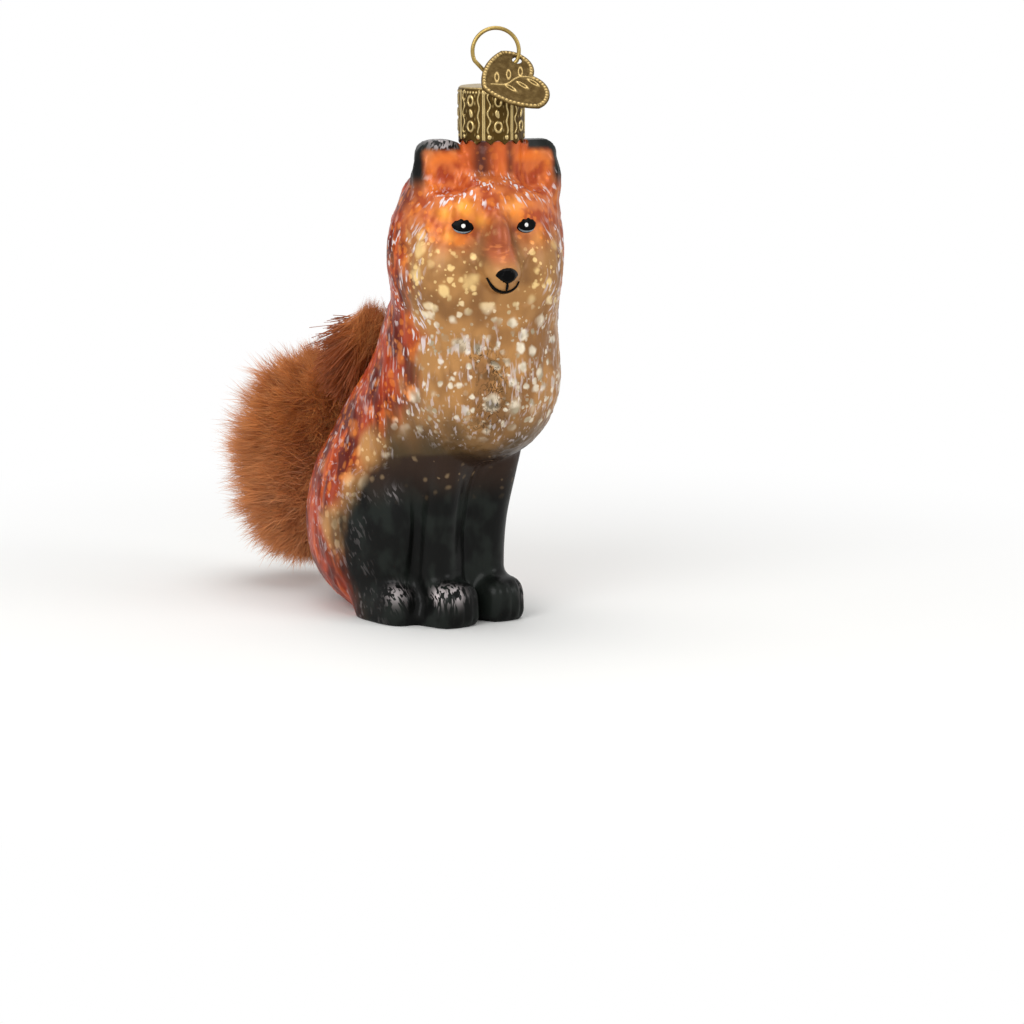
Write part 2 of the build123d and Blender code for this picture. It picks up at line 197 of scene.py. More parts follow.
def head_frame(x, y):
    """Places in the head's frame: to the left of its axis, and forwards of it."""
    x = x - HEAD_AXIS_SHARES[0] * FOX_HEIGHT
    y = y - HEAD_AXIS_SHARES[1] * FOX_HEIGHT
    side = x * math.cos(HEAD_TURN) + y * math.sin(HEAD_TURN)
    forwards = x * math.sin(HEAD_TURN) - y * math.cos(HEAD_TURN)
    return side, forwards


def from_head(side, forwards, height):
    """The model's x, y, z of a place in the head's frame, as a Vector in millimetres."""
    x = HEAD_AXIS_SHARES[0] * FOX_HEIGHT + side * math.cos(HEAD_TURN) + forwards * math.sin(HEAD_TURN)
    y = HEAD_AXIS_SHARES[1] * FOX_HEIGHT + side * math.sin(HEAD_TURN) - forwards * math.cos(HEAD_TURN)
    return Vector((x, y, height))


def round_distance(offsets, radii, power=2.0):
    """About how far a place is outside an ellipse or ellipsoid; a higher power makes it boxier."""
    shares = [np.abs(o / r) for o, r in zip(offsets, radii)]
    outer = sum(s**power for s in shares) ** (1 / power)
    slope = np.sqrt(sum((s ** (power - 1) / r) ** 2 for s, r in zip(shares, radii)))
    return (outer - 1) * outer ** (power - 1) / np.maximum(slope, 1e-6)


def soft_union(a, b, blend):
    """The nearer of two distances, rounded over where they meet."""
    share = np.clip(0.5 + 0.5 * (b - a) / blend, 0, 1)
    return b + (a - b) * share - blend * share * (1 - share)


def upright_distance(rows, x, y, z):
    """Distance to a form of level ellipses."""
    centre_x, centre_y, half_width, half_depth = read_rows(rows, z)
    level = round_distance((x - centre_x, y - centre_y), (half_width, half_depth))
    low, high = rows[0][0] * FOX_HEIGHT, rows[-1][0] * FOX_HEIGHT
    return np.maximum(level, np.maximum(z - high, low - z))


def swelling_distance(swelling, places, power=2.0):
    """Distance to a swelling given by its centre and radii as shares."""
    centre, radii = swelling
    offsets = [place - c * FOX_HEIGHT for place, c in zip(places, centre)]
    return round_distance(offsets, [radius * FOX_HEIGHT for radius in radii], power)


def ear_bowl_place(rows):
    """Where the middle of an ear's hollow is: to the left, forwards and height."""
    height, side, forwards, _, half_depth = np.array(rows[1]) * FOX_HEIGHT
    return side, forwards + half_depth + BOWL_RADII[1] - BOWL_DEPTH, height


BACK_TO_FACE = (from_head(0, -1, 0) - from_head(0, 0, 0)).normalized()


def neck_places(x, y):
    """Places behind the neck's axis, out from it, and across it as the camera sees it."""
    neck_y = y + NECK_SETBACK_SHARE * FOX_HEIGHT
    return neck_y, np.hypot(x, neck_y), 0.788 * x - 0.616 * neck_y


def ear_distance(rows, side, forwards, z):
    """Distance to an ear: deep as its rows say, its outline a boxy arch."""
    centre_side, centre_forwards, half_width, half_depth = read_rows(rows, z)
    width = np.maximum(half_width, EAR_HALF_WIDTH)
    ear = round_distance((side - centre_side, forwards - centre_forwards), (width, half_depth))
    ear = np.maximum(ear, np.maximum(z - rows[-1][0] * FOX_HEIGHT, rows[0][0] * FOX_HEIGHT - z))
    rise = np.maximum(z - EAR_ARCH_LOW, 0)
    return np.maximum(ear, round_distance((side - rows[1][1] * FOX_HEIGHT, rise), EAR_ARCH, 3.0))


def fox_distance(x, y, z):
    """How far a place, in millimetres, is outside the glass; negative inside it."""
    side, forwards = head_frame(x, y)
    size = FOX_HEIGHT
    far = upright_distance(TRUNK_SHARES, x, y, z)
    for swelling in BODY_SWELLING_SHARES[:3]:
        far = soft_union(far, swelling_distance(swelling, (x, y, z)), TRUNK_BLEND)
    for rows in FORELEG_SHARES:
        far = soft_union(far, upright_distance(rows, x, y, z), LEG_BLEND)
    for swelling in BODY_SWELLING_SHARES[3:]:
        far = soft_union(far, swelling_distance(swelling, (x, y, z), 3.0), PAW_BLEND)
    head = upright_distance(HEAD_SHARES, side, forwards, z)
    chest, *swellings, bridge = HEAD_SWELLING_SHARES
    for swelling in swellings:
        head = soft_union(head, swelling_distance(swelling, (side, forwards, z)), HEAD_BLEND)
    centre_z, half_width, half_height = read_rows(MUZZLE_SHARES, forwards)
    muzzle = round_distance((side, z - centre_z), (half_width, half_height))
    muzzle = np.maximum(muzzle, forwards - MUZZLE_SHARES[-1][0] * size)
    muzzle = np.maximum(muzzle, MUZZLE_SHARES[0][0] * size - forwards)
    head = soft_union(head, muzzle, MUZZLE_BLEND)
    head = soft_union(head, swelling_distance(bridge, (side, forwards, z)), BRIDGE_BLEND)
    for rows in EAR_SHARES:
        head = soft_union(head, ear_distance(rows, side, forwards, z), EAR_BLEND)
        centre = ear_bowl_place(rows)
        offsets = (side - centre[0], forwards - centre[1], z - centre[2])
        head = -soft_union(-head, round_distance(offsets, BOWL_RADII, BOWL_POWER), BOWL_BLEND)
    far = soft_union(far, swelling_distance(chest, (side, forwards, z)), CHEST_BLEND)
    far = soft_union(far, head, HEAD_BLEND)
    neck_y = y + NECK_SETBACK_SHARE * size
    ring = np.sqrt(x * x + neck_y * neck_y)
    far = np.maximum(far, np.minimum(CAP_ROOM_RADIUS - ring, z - CAP_ROOM_LOW))
    neck = np.maximum(ring - NECK_RADIUS, np.maximum(z - NECK_TOP, NECK_LOW - z))
    far = soft_union(far, neck, NECK_BLEND)
    bore = np.maximum(ring - NECK_BORE, NECK_TOP - NECK_BORE_DEPTH - z)
    return np.maximum(np.maximum(far, -bore), -z)


def linear(hex_colour):
    """A colour as a screen shows it, turned into the linear values that a material takes."""
    channels = [int(hex_colour[start : start + 2], 16) / 255 for start in (0, 2, 4)]
    return tuple(c / 12.92 if c <= 0.04045 else ((c + 0.055) / 1.055) ** 2.4 for c in channels) + (1.0,)


class Nodes:
    """A node tree, with a short call for each kind of node that is used here."""

    def __init__(self, tree):
        self.tree = tree

    def give(self, socket, value):
        """Link another node's output to a socket, or set the socket's value."""
        if isinstance(value, bpy.types.NodeSocket):
            self.tree.links.new(value, socket)
        else:
            socket.default_value = value

    def set(self, node, **values):
        """Give a node's sockets values or links, by their names with low lines for spaces."""
        for name, value in values.items():
            self.give(node.inputs[name.replace("_", " ")], value)

    def node(self, kind, inputs=(), **settings):
        """Add a node. Each input is a socket's name or number with a value or another node's output."""
        node = self.tree.nodes.new(kind)
        for name, value in settings.items():
            setattr(node, name, value)
        for socket, value in inputs:
            self.give(node.inputs[socket], value)
        return node

    def add(self, kind, inputs=(), output=0, **settings):
        """Add a node and give back one of its outputs."""
        return self.node(kind, inputs, **settings).outputs[output]

    def sum(self, operation, *values):
        """A sum of one to three numbers or outputs."""
        return self.add("ShaderNodeMath", enumerate(values), operation=operation)

    def times(self, first, second):
        """The product of two."""
        return self.sum("MULTIPLY", first, second)

    def most(self, first, second):
        """The greater of two."""
        return self.sum("MAXIMUM", first, second)

    def remap(self, value, low, high, start=0.0, end=1.0):
        """The output's range from low to high, turned smoothly into the range from start to end."""
        inputs = enumerate((value, low, high, start, end))
        return self.add("ShaderNodeMapRange", inputs, interpolation_type="SMOOTHSTEP")

    def zone(self, name, output="Fac"):
        """A named attribute at each point."""
        return self.add("ShaderNodeAttribute", (), output, attribute_name=name)

    def mix(self, share, first, second):
        """Two colours mixed by a share, or by the zone of that name. A text is a colour in hex digits."""
        share = self.zone(share) if isinstance(share, str) else share
        first, second = [linear(c) if isinstance(c, str) else c for c in (first, second)]
        return self.add("ShaderNodeMix", [(0, share), (6, first), (7, second)], 2, data_type="RGBA")

    def place(self, size):
        """Object coordinates scaled so that a pattern's unit is size, in millimetres along each axis."""
        place = self.add("ShaderNodeTexCoord", (), "Object")
        return self.add("ShaderNodeMapping", [(0, place), (3, [1 / (s * MM) for s in size])])

    def noise(self, where, detail=2.0, distortion=0.0, scale=1.0, output="Fac"):
        """Noise with a grain in millimetres along each axis, or at a place in units of one grain."""
        place = where if isinstance(where, bpy.types.NodeSocket) else self.place(where)
        inputs = [("Vector", place), ("Scale", scale), ("Detail", detail), ("Distortion", distortion)]
        return self.add("ShaderNodeTexNoise", inputs, output)

    def bump(self, height, strength, depth):
        """Bump from a height; depth is in millimetres."""
        inputs = [("Strength", strength), ("Distance", depth * MM), ("Height", height)]
        return self.add("ShaderNodeBump", inputs)

    def dabs(self, size, radius, softness, strength):
        """Round dabs of paint scattered over the surface: their strength inside them and 0 between them."""
        place = self.place((size,) * 3)
        swirl = self.noise(place, 1.0, scale=1.6, output="Color")
        inputs = enumerate((swirl, (0.4, 0.4, 0.4), place))
        place = self.add("ShaderNodeVectorMath", inputs, operation="MULTIPLY_ADD")
        inputs = [("Vector", place), ("Scale", 1.0), ("Randomness", 0.8)]
        cells = self.node("ShaderNodeTexVoronoi", inputs).outputs
        chance = self.node("ShaderNodeSeparateColor", [(0, cells["Color"])]).outputs
        far = self.sum("DIVIDE", cells["Distance"], self.remap(chance[1], 0.0, 1.0, 0.5, 1.15))
        spot = self.remap(far, radius - softness, radius, strength, 0.0)
        return self.times(spot, self.remap(chance[0], 0.2, 0.4))


class Look(Nodes):
    """A material, with its surface shader and the colour laid on it so far."""

    def __init__(self, name):
        self.material = bpy.data.materials.new(name)
        self.material.use_nodes = True
        super().__init__(self.material.node_tree)
        self.shader = self.tree.nodes["Principled BSDF"]
        self.colour = None

    def lay(self, share, paint):
        """Lay a paint over the colour, by a share or by the zone of that name."""
        self.colour = self.mix(share, self.colour, paint)

    def done(self, **values):
        """Give the shader its colour and its other inputs, and give back the material."""
        self.set(self.shader, Base_Color=self.colour, **values)
        return self.material


def make_mesh(name, points, faces, material, body):
    """A mesh object from points in millimetres and faces, put on a body of the part."""
    mesh = bpy.data.meshes.new(name)
    mesh.from_pydata((np.asarray(points) * MM).tolist(), [], [list(face) for face in faces])
    mesh.validate()
    mesh.polygons.foreach_set("use_smooth", [True] * len(mesh.polygons))
    mesh.materials.append(material)
    piece = bpy.data.objects.new(name, mesh)
    bpy.context.scene.collection.objects.link(piece)
    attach(piece, body)
    return piece


def set_attribute(data, name, values, kind="FLOAT"):
    """Store a number, or a vector, for each point of a mesh."""
    attribute = data.attributes.new(name, kind, "POINT")
    field = "vector" if kind == "FLOAT_VECTOR" else "value"
    attribute.data.foreach_set(field, np.asarray(values, np.float32).ravel())


def ring_quads(rings, count):
    """Quads between rings of points, each ring with the same count."""
    quads = []
    for ring in range(rings - 1):
        for spoke in range(count):
            a, b = ring * count + spoke, ring * count + (spoke + 1) % count
            quads.append((a, b, b + count, a + count))
    return quads


def surface_of(distance, low, high, step):
    """Points and quads where a distance function is nought, within a box, all in millimetres."""
    axes = [np.arange(a, b + step, step, dtype=np.float32) for a, b in zip(low, high)]
    x, y, z = np.meshgrid(*axes, indexing="ij", sparse=True)
    values = np.array(np.broadcast_to(distance(x, y, z), [len(a) for a in axes]), np.float32, order="C")
    grid = openvdb.FloatGrid(3.0)
    grid.copyFromArray(values)
    points, triangles, quads = grid.convertToPolygons(0.0, 0.0)
    faces = [tuple(face[::-1]) for kind in (quads, triangles) for face in kind]
    return (points * step + np.array(low, np.float32)).astype(np.float64), faces


def slope_of(distance, points, reach=0.05):
    """The outward direction of a distance function at each point."""
    slopes = []
    for axis in np.eye(3) * reach:
        slopes.append(distance(*(points + axis).T) - distance(*(points - axis).T))
    return np.stack(slopes, axis=1) / (2 * reach)


def settle(distance, points):
    """Move points straight onto the surface of a distance function, in two rounds."""
    for _ in range(2):
        slope = slope_of(distance, points)
        length = np.maximum((slope**2).sum(axis=1), 0.05)
        points = points - np.clip(distance(*points.T) / length, -0.4, 0.4)[:, None] * slope
    return points


# Sizes of the dabs: cell in millimetres, radius and softness as shares of it, and strength.
DABS = ((4.8, 0.42, 0.24, 0.75), (3.0, 0.42, 0.22, 0.85), (2.0, 0.4, 0.18, 0.8), (1.2, 0.34, 0.14, 0.6))
LEG_DABS = (2.2, 0.36, 0.26, 0.45)


def painted_glass(settings):
    """Blown glass, silvered inside and painted outside with clear lacquers and dry-brushed white."""
    look = Look("painted_glass")
    cloud, fine = look.noise((6, 6, 8)), look.noise((1.1, 1.1, 2.6))
    broad = look.remap(cloud, 0.38, 0.62)
    streak = look.noise((2.6, 2.6, 8.0), distortion=0.6)
    pale = look.remap(look.noise((2.4, 2.4, 2.8), 1), 0.36, 0.62)
    cape, glow, tan, dark, bare = [look.zone(name) for name in ("cape", "glow", "tan", "dark", "bare")]

    # The ochre bib and face, olive-brown low on the chest, rust down the back with brighter streaks.
    look.colour = look.mix(broad, "8d6238", settings.ochre)
    look.lay("low", "453620")
    rust = look.mix(broad, "5a1200", settings.rust)
    look.lay(cape, look.mix(look.remap(streak, 0.5, 0.72, 0.0, 0.75), rust, "d55a14"))
    # Red-brown over the brow, warmer round the eyes, and the tan edge of the coat above the black legs.
    look.lay(glow, look.mix(pale, "a84824", "d07440"))
    # Painted highlights: bright yellow-orange patches round the eyes and on the brow.
    look.lay("sun", "ffae36")
    look.lay(tan, look.mix(broad, "8a5a2e", "be8c52"))
    # The bridge of the muzzle with a few orange wrinkles, and brown shading beside it.
    wrinkle = look.remap(look.noise((1.9, 1.9, 0.7), 1), 0.54, 0.7, 0.0, 0.8)
    bridge = look.mix(look.remap(cloud, 0.35, 0.65), "93482a", "b2603a")
    look.lay("muzzle", look.mix(look.times(wrinkle, look.zone("wrinkle")), bridge, "d98048"))
    look.lay("shade", "4a2a14")
    # The folds under the cap, and the orange bowls of the ears.
    look.lay("crown", look.mix("fold", "4c1e10", "d0622c"))
    look.lay("bowl", look.mix("bowl_edge", look.mix(pale, "a43f1b", "cf6a34"), settings.ear_bowl))

    # Soft round dabs: grey-cream on the bib, cream-yellow on the cheeks, yellow-orange on the brow and back.
    tint = look.mix("face", look.mix(pale, "a79c84", "eee2ca"), "f3cf8c")
    tint = look.mix(look.remap(look.most(glow, cape), 0.2, 0.7), tint, "f58c32")
    tint = look.mix(tan, tint, "e0c08e")
    dabs = look.zone("dabs")
    for sizes in DABS:
        look.lay(look.times(look.dabs(*sizes), dabs), tint)
    # Dark crackle in the lacquer on one side of the chest.
    line = look.sum("ABSOLUTE", look.sum("SUBTRACT", look.noise((1.6, 1.6, 2.2), 3, 1.0), 0.5))
    line = look.most(look.remap(line, 0.006, 0.035, 0.9, 0.0), look.remap(pale, 0.3, 0.0, 0.0, 0.5))
    look.lay(look.times(line, look.zone("crackle")), "2b1c0e")
    # The black legs, brown and dabbed at their tops.
    leg_top = look.zone("leg_top")
    black = look.mix(look.remap(look.noise((4, 4, 6)), 0.4, 0.65), settings.black, "1b1f1c")
    black = look.mix(leg_top, black, "30221a")
    look.lay(dark, look.mix(look.times(look.dabs(*LEG_DABS), leg_top), black, "a58a68"))

    # Dry white brush strokes that follow the coat, and the bare silvered neck.
    brush = look.noise(look.zone("coat", "Vector"), 1)
    patch = look.remap(look.noise((3.4, 3.4, 3.4), 1), 0.44, 0.56)
    stroke = look.times(look.times(look.remap(brush, 0.55, 0.63), patch), look.zone("strokes"))
    stroke = look.most(stroke, look.times(look.remap(brush, 0.47, 0.56), look.zone("rub")))
    look.lay(stroke, "ddd2d2")
    look.lay(bare, "b9bcc0")
    # Lacquer over silver: a faint metal gleam below a thin clear coat, duller where the white is brushed on.
    gleam = look.times(look.sum("SUBTRACT", 1.0, dark), 0.14)
    rough = look.remap(stroke, 0.0, 1.0, 0.36, 0.6)
    look.set(look.shader, Specular_IOR_Level=look.remap(dark, 0.0, 1.0, 0.15, 0.07), Coat_Weight=0.08)
    look.set(look.shader, Coat_Roughness=0.14, Normal=look.bump(fine, 0.3, 0.15))
    return look.done(Metallic=look.most(gleam, bare), Roughness=rough)


# Painted highlights, bright yellow patches round the eyes and on the brow: their side and height, reach and
# strength.
PAINTED_HIGHLIGHTS = (
    ((-6.0, 85.2), 1.7, 0.7),
    ((-9.6, 84.0), 1.3, 0.6),
    ((-3.0, 82.6), 1.4, 0.6),
    ((-9.2, 79.8), 1.4, 0.45),
    ((3.6, 85.0), 2.2, 0.45),
    ((8.6, 79.0), 1.8, 0.35),
    ((2.2, 92.6), 1.3, 0.5),
    ((6.6, 92.4), 1.4, 0.4),
)

# Where the haunch is mottled tan: place, reach and strength.
TAN_PATCHES = (
    ((-16.0, 1.0, 36.0), 5.0, 1.0),
    ((-17.5, 5.5, 27.0), 4.5, 0.8),
    ((-18.5, 10.0, 18.5), 6.0, 1.0),
    ((16.0, 4.0, 32.0), 5.0, 0.8),
    ((16.5, 10.0, 19.0), 5.5, 0.8),
)

# Where white is rubbed on the black legs and paws: place, reach and strength.
RUBBED = (
    ((-10.2, -11.6, 6.6), 1.7, 1.0),
    ((-7.4, -13.4, 6.6), 1.7, 1.0),
    ((-14.8, -4.0, 6.0), 1.8, 0.6),
    ((9.0, -13.0, 5.6), 1.5, 0.6),
    ((12.8, -9.0, 6.5), 1.3, 0.5),
    ((-16.2, -4.6, 27.0), 1.4, 0.8),
    ((12.6, -11.5, 26.0), 2.2, 0.45),
    ((11.5, -14.0, 16.0), 1.6, 0.6),
    ((-4.2, -15.0, 20.0), 1.6, 0.5),
)


def patches(table, places):
    """Soft patches added up, each with a place, a reach in millimetres and a strength."""
    total = 0
    for place, reach, strength in table:
        total = total + strength * np.exp(-sum((p - c) ** 2 for p, c in zip(places, place)) / reach**2)
    return total


def paint_zones(points):
    """The zones that the fox is painted in, each a number from 0 to 1 at each point."""
    x, y, z = points.T
    side, forwards = head_frame(x, y)
    _, ring, across = neck_places(x, y)
    centre_x, centre_y = read_rows(TRUNK_SHARES, z)[:2]
    head_share = ramp(50, 66, z)
    to_left = np.where(z > 66, side, side * head_share + (x - centre_x) * (1 - head_share))
    to_front = forwards * head_share + (centre_y - y) * (1 - head_share)
    angle = np.degrees(np.abs(np.arctan2(to_left, to_front)))
    wander = lattice_noise(points, (4, 4, 5), 3)
    fringe = lattice_noise(points, (0.9, 0.9, 3.2), 4)

    # The rust back, the black legs, and the tan and olive edges of the coat.
    cape = ramp(58, 88, angle + 13 * wander + 5 * fringe)
    leg_line = np.interp(z, [0, 8, 20, 27, 34, 38], [7, 9, 9, 5, -2, -30])
    legs = ramp(-4.5, 3.5, leg_line - y + 2.4 * wander + 1.2 * fringe) * ramp(40, 33, z + 1.2 * wander)
    tan = 0.9 * ramp(0.25, 0.85, patches(TAN_PATCHES, (x, y, z)) + 0.25 * wander)
    olive = 0.7 * ramp(13, 7, z + 2 * wander) * ramp(8, 14, y)

    # The brow with the glow round the eyes, and the crown with its folds.
    brow = ramp(75, 85, z + 2 * wander) * ramp(95, 60, angle)
    eyes = []
    for eye_side in (-EYE_SIDE, EYE_SIDE):
        eyes.append(np.sqrt((side - eye_side) ** 2 + (forwards - EYE_FORWARDS) ** 2 + (z - EYE_HEIGHT) ** 2))
    snout = ramp(12, 14.5, forwards) * ramp(84, 80, z)
    glow = np.clip(brow + 0.5 * ramp(8.5, 2, np.minimum(*eyes)), 0, 1) * (1 - snout)
    # Painted highlights round the eyes and on the brow, on what faces forwards.
    sun = np.clip(patches(PAINTED_HIGHLIGHTS, (side, z)), 0, 1) * ramp(80, 60, angle)
    crown = ramp(89.0, 92.0, z + 0.8 * wander) * ramp(9.0, 7.0, ring)
    fold = 1 - ridge(across, -1.7, 2.2) - 0.8 * ridge(across, 3.6, 0.8)

    # The ears' orange bowls and black rims.
    bowl, ears, bowl_edge = np.zeros((3, len(points)))
    for rows in EAR_SHARES:
        centre = ear_bowl_place(rows)
        offset, is_left = side - centre[0], centre[0] > 0
        outer = np.sign(centre[0]) * offset
        offsets = (offset + 0.9 * is_left, forwards - centre[1], z - centre[2])
        far = round_distance(offsets, BOWL_RADII, BOWL_POWER)
        bowl = np.maximum(bowl, ramp(1.3, -0.4, far))
        bowl_edge = np.maximum(bowl_edge, (ramp(0.8, 3.6, outer) + ramp(92.5, 94.5, z)) * (far < 3))
        rim = ramp(95.0, 96.2, z + 0.4 * wander) + ramp(3.4, 4.6, outer + 0.5 * is_left) * ramp(87, 91, z)
        ears = np.maximum(ears, np.clip(rim, 0, 1) * ramp(7.5, 6, np.abs(offset)))
    bowl = bowl * ramp(86, 88.5, z)
    ears = ears * (1 - bowl) * ramp(86, 89, z) * ramp(6.9, 7.4, ring)

    # The bridge of the muzzle, and the shade beside it, under the chin and on the left cheek.
    bridge_width = np.interp(z, [73, 77, 82, 86], [2.6, 3.6, 2.6, 1.6]) + 0.5 * wander
    bridge = ramp(1.4, -1.2, np.abs(side) - bridge_width) * ramp(9, 11, forwards) * ramp(86, 81, z)
    muzzle = bridge * ramp(72.8, 77.0, z)
    beside = ridge(np.abs(side), 3.6, 1.0) * ramp(9.5, 12, forwards) * band(73, 76, 80, 84, z)
    under_chin = band(62, 65, 66.5, 69, z) * ramp(9, 13, forwards)
    dim_cheek = ramp(3.5, 8, side) * band(66, 74, 79, 84, z)

    # Where dabs, dry strokes and rubbed white lie.
    face_dabs = ramp(78, 58, angle) * ramp(37, 43, z) * (1 - 0.9 * muzzle) * (1 - 0.7 * beside)
    face_dabs *= 1 - ramp(11, 14, forwards) * ramp(5, 3.5, np.abs(side)) * (z > 67) * (z < 80)
    face_dabs *= (1 - 0.5 * glow) * (1 - 0.8 * bowl) * (1 - 0.6 * crown) * ramp(35, 46, z + 1.5 * wander)
    dabs = face_dabs + 0.45 * cape * (1 - legs) * ramp(14, 26, z) + 1.2 * tan
    strokes = band(84.5, 86, 90, 92, z) * ramp(85, 65, angle)
    strokes += band(48, 62, 90, 110, angle) * ramp(84, 78, z) * (0.4 + 0.5 * ramp(58, 66, z))
    strokes += 0.45 * ramp(95, 115, angle) * ramp(8, 14, z)
    strokes += 0.8 * ramp(8, 12, to_left) * band(36, 42, 78, 84, z)
    strokes += 0.4 * (to_front > 0) * band(36, 40, 60, 64, z)
    strokes = np.clip(strokes, 0, 1) * (1 - 0.85 * legs) * (1 - muzzle) * (1 - tan)
    rub = patches(RUBBED, (x, y, z)) + 0.5 * ridge(side, -8.0, 2.6) * ramp(95.6, 96.4, z) * ramp(7, 8, ring)
    bare = ramp(97.6, 98.0, z) * ramp(6.6, 6.3, ring)
    zones = dict(
        cape=cape, glow=glow, sun=sun, face=ramp(62, 70, z), dark=np.maximum(legs, ears),
        leg_top=ramp(24, 33, z + 2 * wander) * (z < 60), low=np.maximum(ramp(50, 33, z + 3 * wander), olive),
        tan=tan, bowl=bowl, bowl_edge=bowl_edge, wrinkle=ramp(80, 77, z), bare=bare, muzzle=muzzle,
        shade=0.5 * beside + 0.15 * under_chin + 0.22 * dim_cheek,
        crackle=ridge(to_left, -7, 3.2) * band(38, 44, 55, 63, z) * (to_front > 0),
        crown=crown, fold=fold, dabs=dabs, strokes=strokes * (1 - bare) * (1 - bowl),
        rub=np.clip(rub, 0, 1) * (1 - bare),
    )
    return {name: np.clip(values, 0, 1) for name, values in zones.items()}


def coat_places(points):
    """Places that run along the painted coat, so that noise read at them makes brush strokes."""
    x, y, z = points.T
    side, forwards = head_frame(x, y)
    across = side + 0.55 * (z - 85) * np.tanh(side / 4) * ramp(60, 75, z)
    across = across + 0.5 * (z - 18) * ramp(34, 28, z) * ramp(-10, -14, x)
    return np.stack([across / 0.62, forwards / 0.9, z / 3.0], axis=1)


# The furrows between the legs, each at an x and with a depth, and the x of each toe's groove.
FURROWS = ((-11.4, 1.0), (-0.6, 0.7), (10.8, 1.0))
TOE_GROOVES = (-7.9, -5.6, -3.3, 3.7, 6.0, 8.3)


def coat_relief(points):
    """How far each point is raised for the moulded locks, toes, eye sockets and folds under the cap."""
    x, y, z = points.T
    side, forwards = head_frame(x, y)
    neck_y, ring, across = neck_places(x, y)
    warp = 1.3 * np.stack([lattice_noise(points, (5, 5, 6), seed) for seed in (11, 12, 13)], axis=1)
    locks = 1 - np.abs(lattice_noise(points + warp, (1.6, 1.6, 6.0), 14)) * 1.8
    fine = 1 - np.abs(lattice_noise(points + warp, (0.8, 0.8, 3.0), 15)) * 1.8
    coat = band(30, 40, 93, 96.2, z) * (1 - ramp(10, 12.5, forwards) * (z > 66))
    coat = np.maximum(coat, 0.7 * ramp(4, 10, y) * band(0.5, 3, 40, 60, z))
    raised = coat * (0.24 * locks + 0.09 * fine)
    raised -= 0.55 * ridge(np.abs(side), 4.0, 1.5) * ridge(z, 79.5, 3.6) * ramp(8, 10, forwards)
    for centre_x, depth in FURROWS:
        raised -= depth * ridge(x, centre_x, 1.0) * ramp(4, 0, y) * band(1, 5, 30, 37, z)
    raised -= 0.25 * ridge(z - 0.1 * side * side, 70.9, 0.45) * ramp(11, 14, forwards)
    for centre_x in TOE_GROOVES:
        raised -= 0.3 * ridge(x, centre_x, 0.4) * ramp(-11.2, -12.6, y) * (z < 8) * ramp(0.1, 1.5, z)
    folds = ridge(across, -1.7, 1.6) - ridge(across, 0.6, 0.5)
    return raised + 0.35 * folds * band(90, 92, 95.4, 96.4, z) * (neck_y < 0) * (ring < 8.5)


def build_glass(settings):
    """The lacquered fox: its outer skin, with the neck's bore and the bowls of the ears."""
    points, faces = surface_of(fox_distance, *GLASS_BOX, settings.mesh_step / MM)
    points = settle(fox_distance, points)
    outward = slope_of(fox_distance, points)
    outward /= np.maximum(np.linalg.norm(outward, axis=1, keepdims=True), 1e-6)
    moved = points + outward * (settings.relief * coat_relief(points))[:, None]
    moved[:, 2] = np.maximum(moved[:, 2], 0)
    piece = make_mesh("lacquered_glass_fox", moved, faces, painted_glass(settings), "glass")
    for name, values in paint_zones(points).items():
        set_attribute(piece.data, name, values)
    set_attribute(piece.data, "coat", coat_places(points), "FLOAT_VECTOR")
    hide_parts("glass_body")


def gloss_paint(name, colour, roughness):
    """Glossy enamel, brushed on over the lacquer in a thick drop."""
    look = Look(name)
    pool = look.noise((0.6, 0.6, 0.9))
    look.colour = look.mix(look.remap(pool, 0.3, 0.7, 0.0, 0.25), colour, "000000")
    rough = look.remap(pool, 0.3, 0.7, roughness, roughness + 0.08)
    return look.done(Roughness=rough, Specular_IOR_Level=0.05, Normal=look.bump(pool, 0.15, 0.05))


# The enamel: how far in front of the face its rays start, how deep its pieces reach into the glass,
# how many rings a patch has and how its dome falls off.
IN_FRONT, PATCH_DEPTH, LINE_DEPTH, PATCH_RINGS, DOME_POWER, LINE_TAPER = 45, 0.35, 0.3, 12, 2.5, 0.25


def laid_place(skin, side, height, lift, lean=0.0):
    """A place on the face, lifted off its skin; lean turns the lift towards the front."""
    place, normal, _, _ = skin.ray_cast(from_head(side, IN_FRONT, height) * MM, BACK_TO_FACE)
    return tuple(place / MM + (normal - lean * BACK_TO_FACE).normalized() * lift)


def laid_patch(name, skin, centre, outline, height, material, base=0.04):
    """A domed patch of paint on the face: its outline is (side, up) offsets from a (side, height) centre."""
    rings, count = PATCH_RINGS, len(outline)
    shares = [ring / rings for ring in range(rings, 0, -1)]
    laid = [(share, base + height * math.sqrt(1 - share**DOME_POWER)) for share in shares]
    laid += [(0, base + height), (1, -PATCH_DEPTH), (0, -PATCH_DEPTH)]
    points = []
    for share, lift in laid:
        for side, up in outline if share else [(0, 0)]:
            points.append(laid_place(skin, centre[0] + side * share, centre[1] + up * share, lift, 2))
    faces = ring_quads(rings, count)
    top, low = rings * count, rings * count + 1
    for spoke in range(count):
        following = (spoke + 1) % count
        faces.append((top - count + spoke, top - count + following, top))
        faces.append((low + spoke, low + following, following, spoke))
        faces.append((low + following, low + spoke, low + count))
    make_mesh(name, points, faces, material, "glass")


def band_outline(line, half_width):
    """The outline of a brush line with tapered ends, from its middle points."""
    line = np.array(line, float)
    run = np.gradient(line, axis=0)
    run /= np.linalg.norm(run, axis=1, keepdims=True)
    aside = np.stack([-run[:, 1], run[:, 0]], axis=1)
    width = half_width * np.sin(np.linspace(LINE_TAPER, math.pi - LINE_TAPER, len(line)))[:, None]
    return np.concatenate([line - aside * width, (line + aside * width)[::-1]])


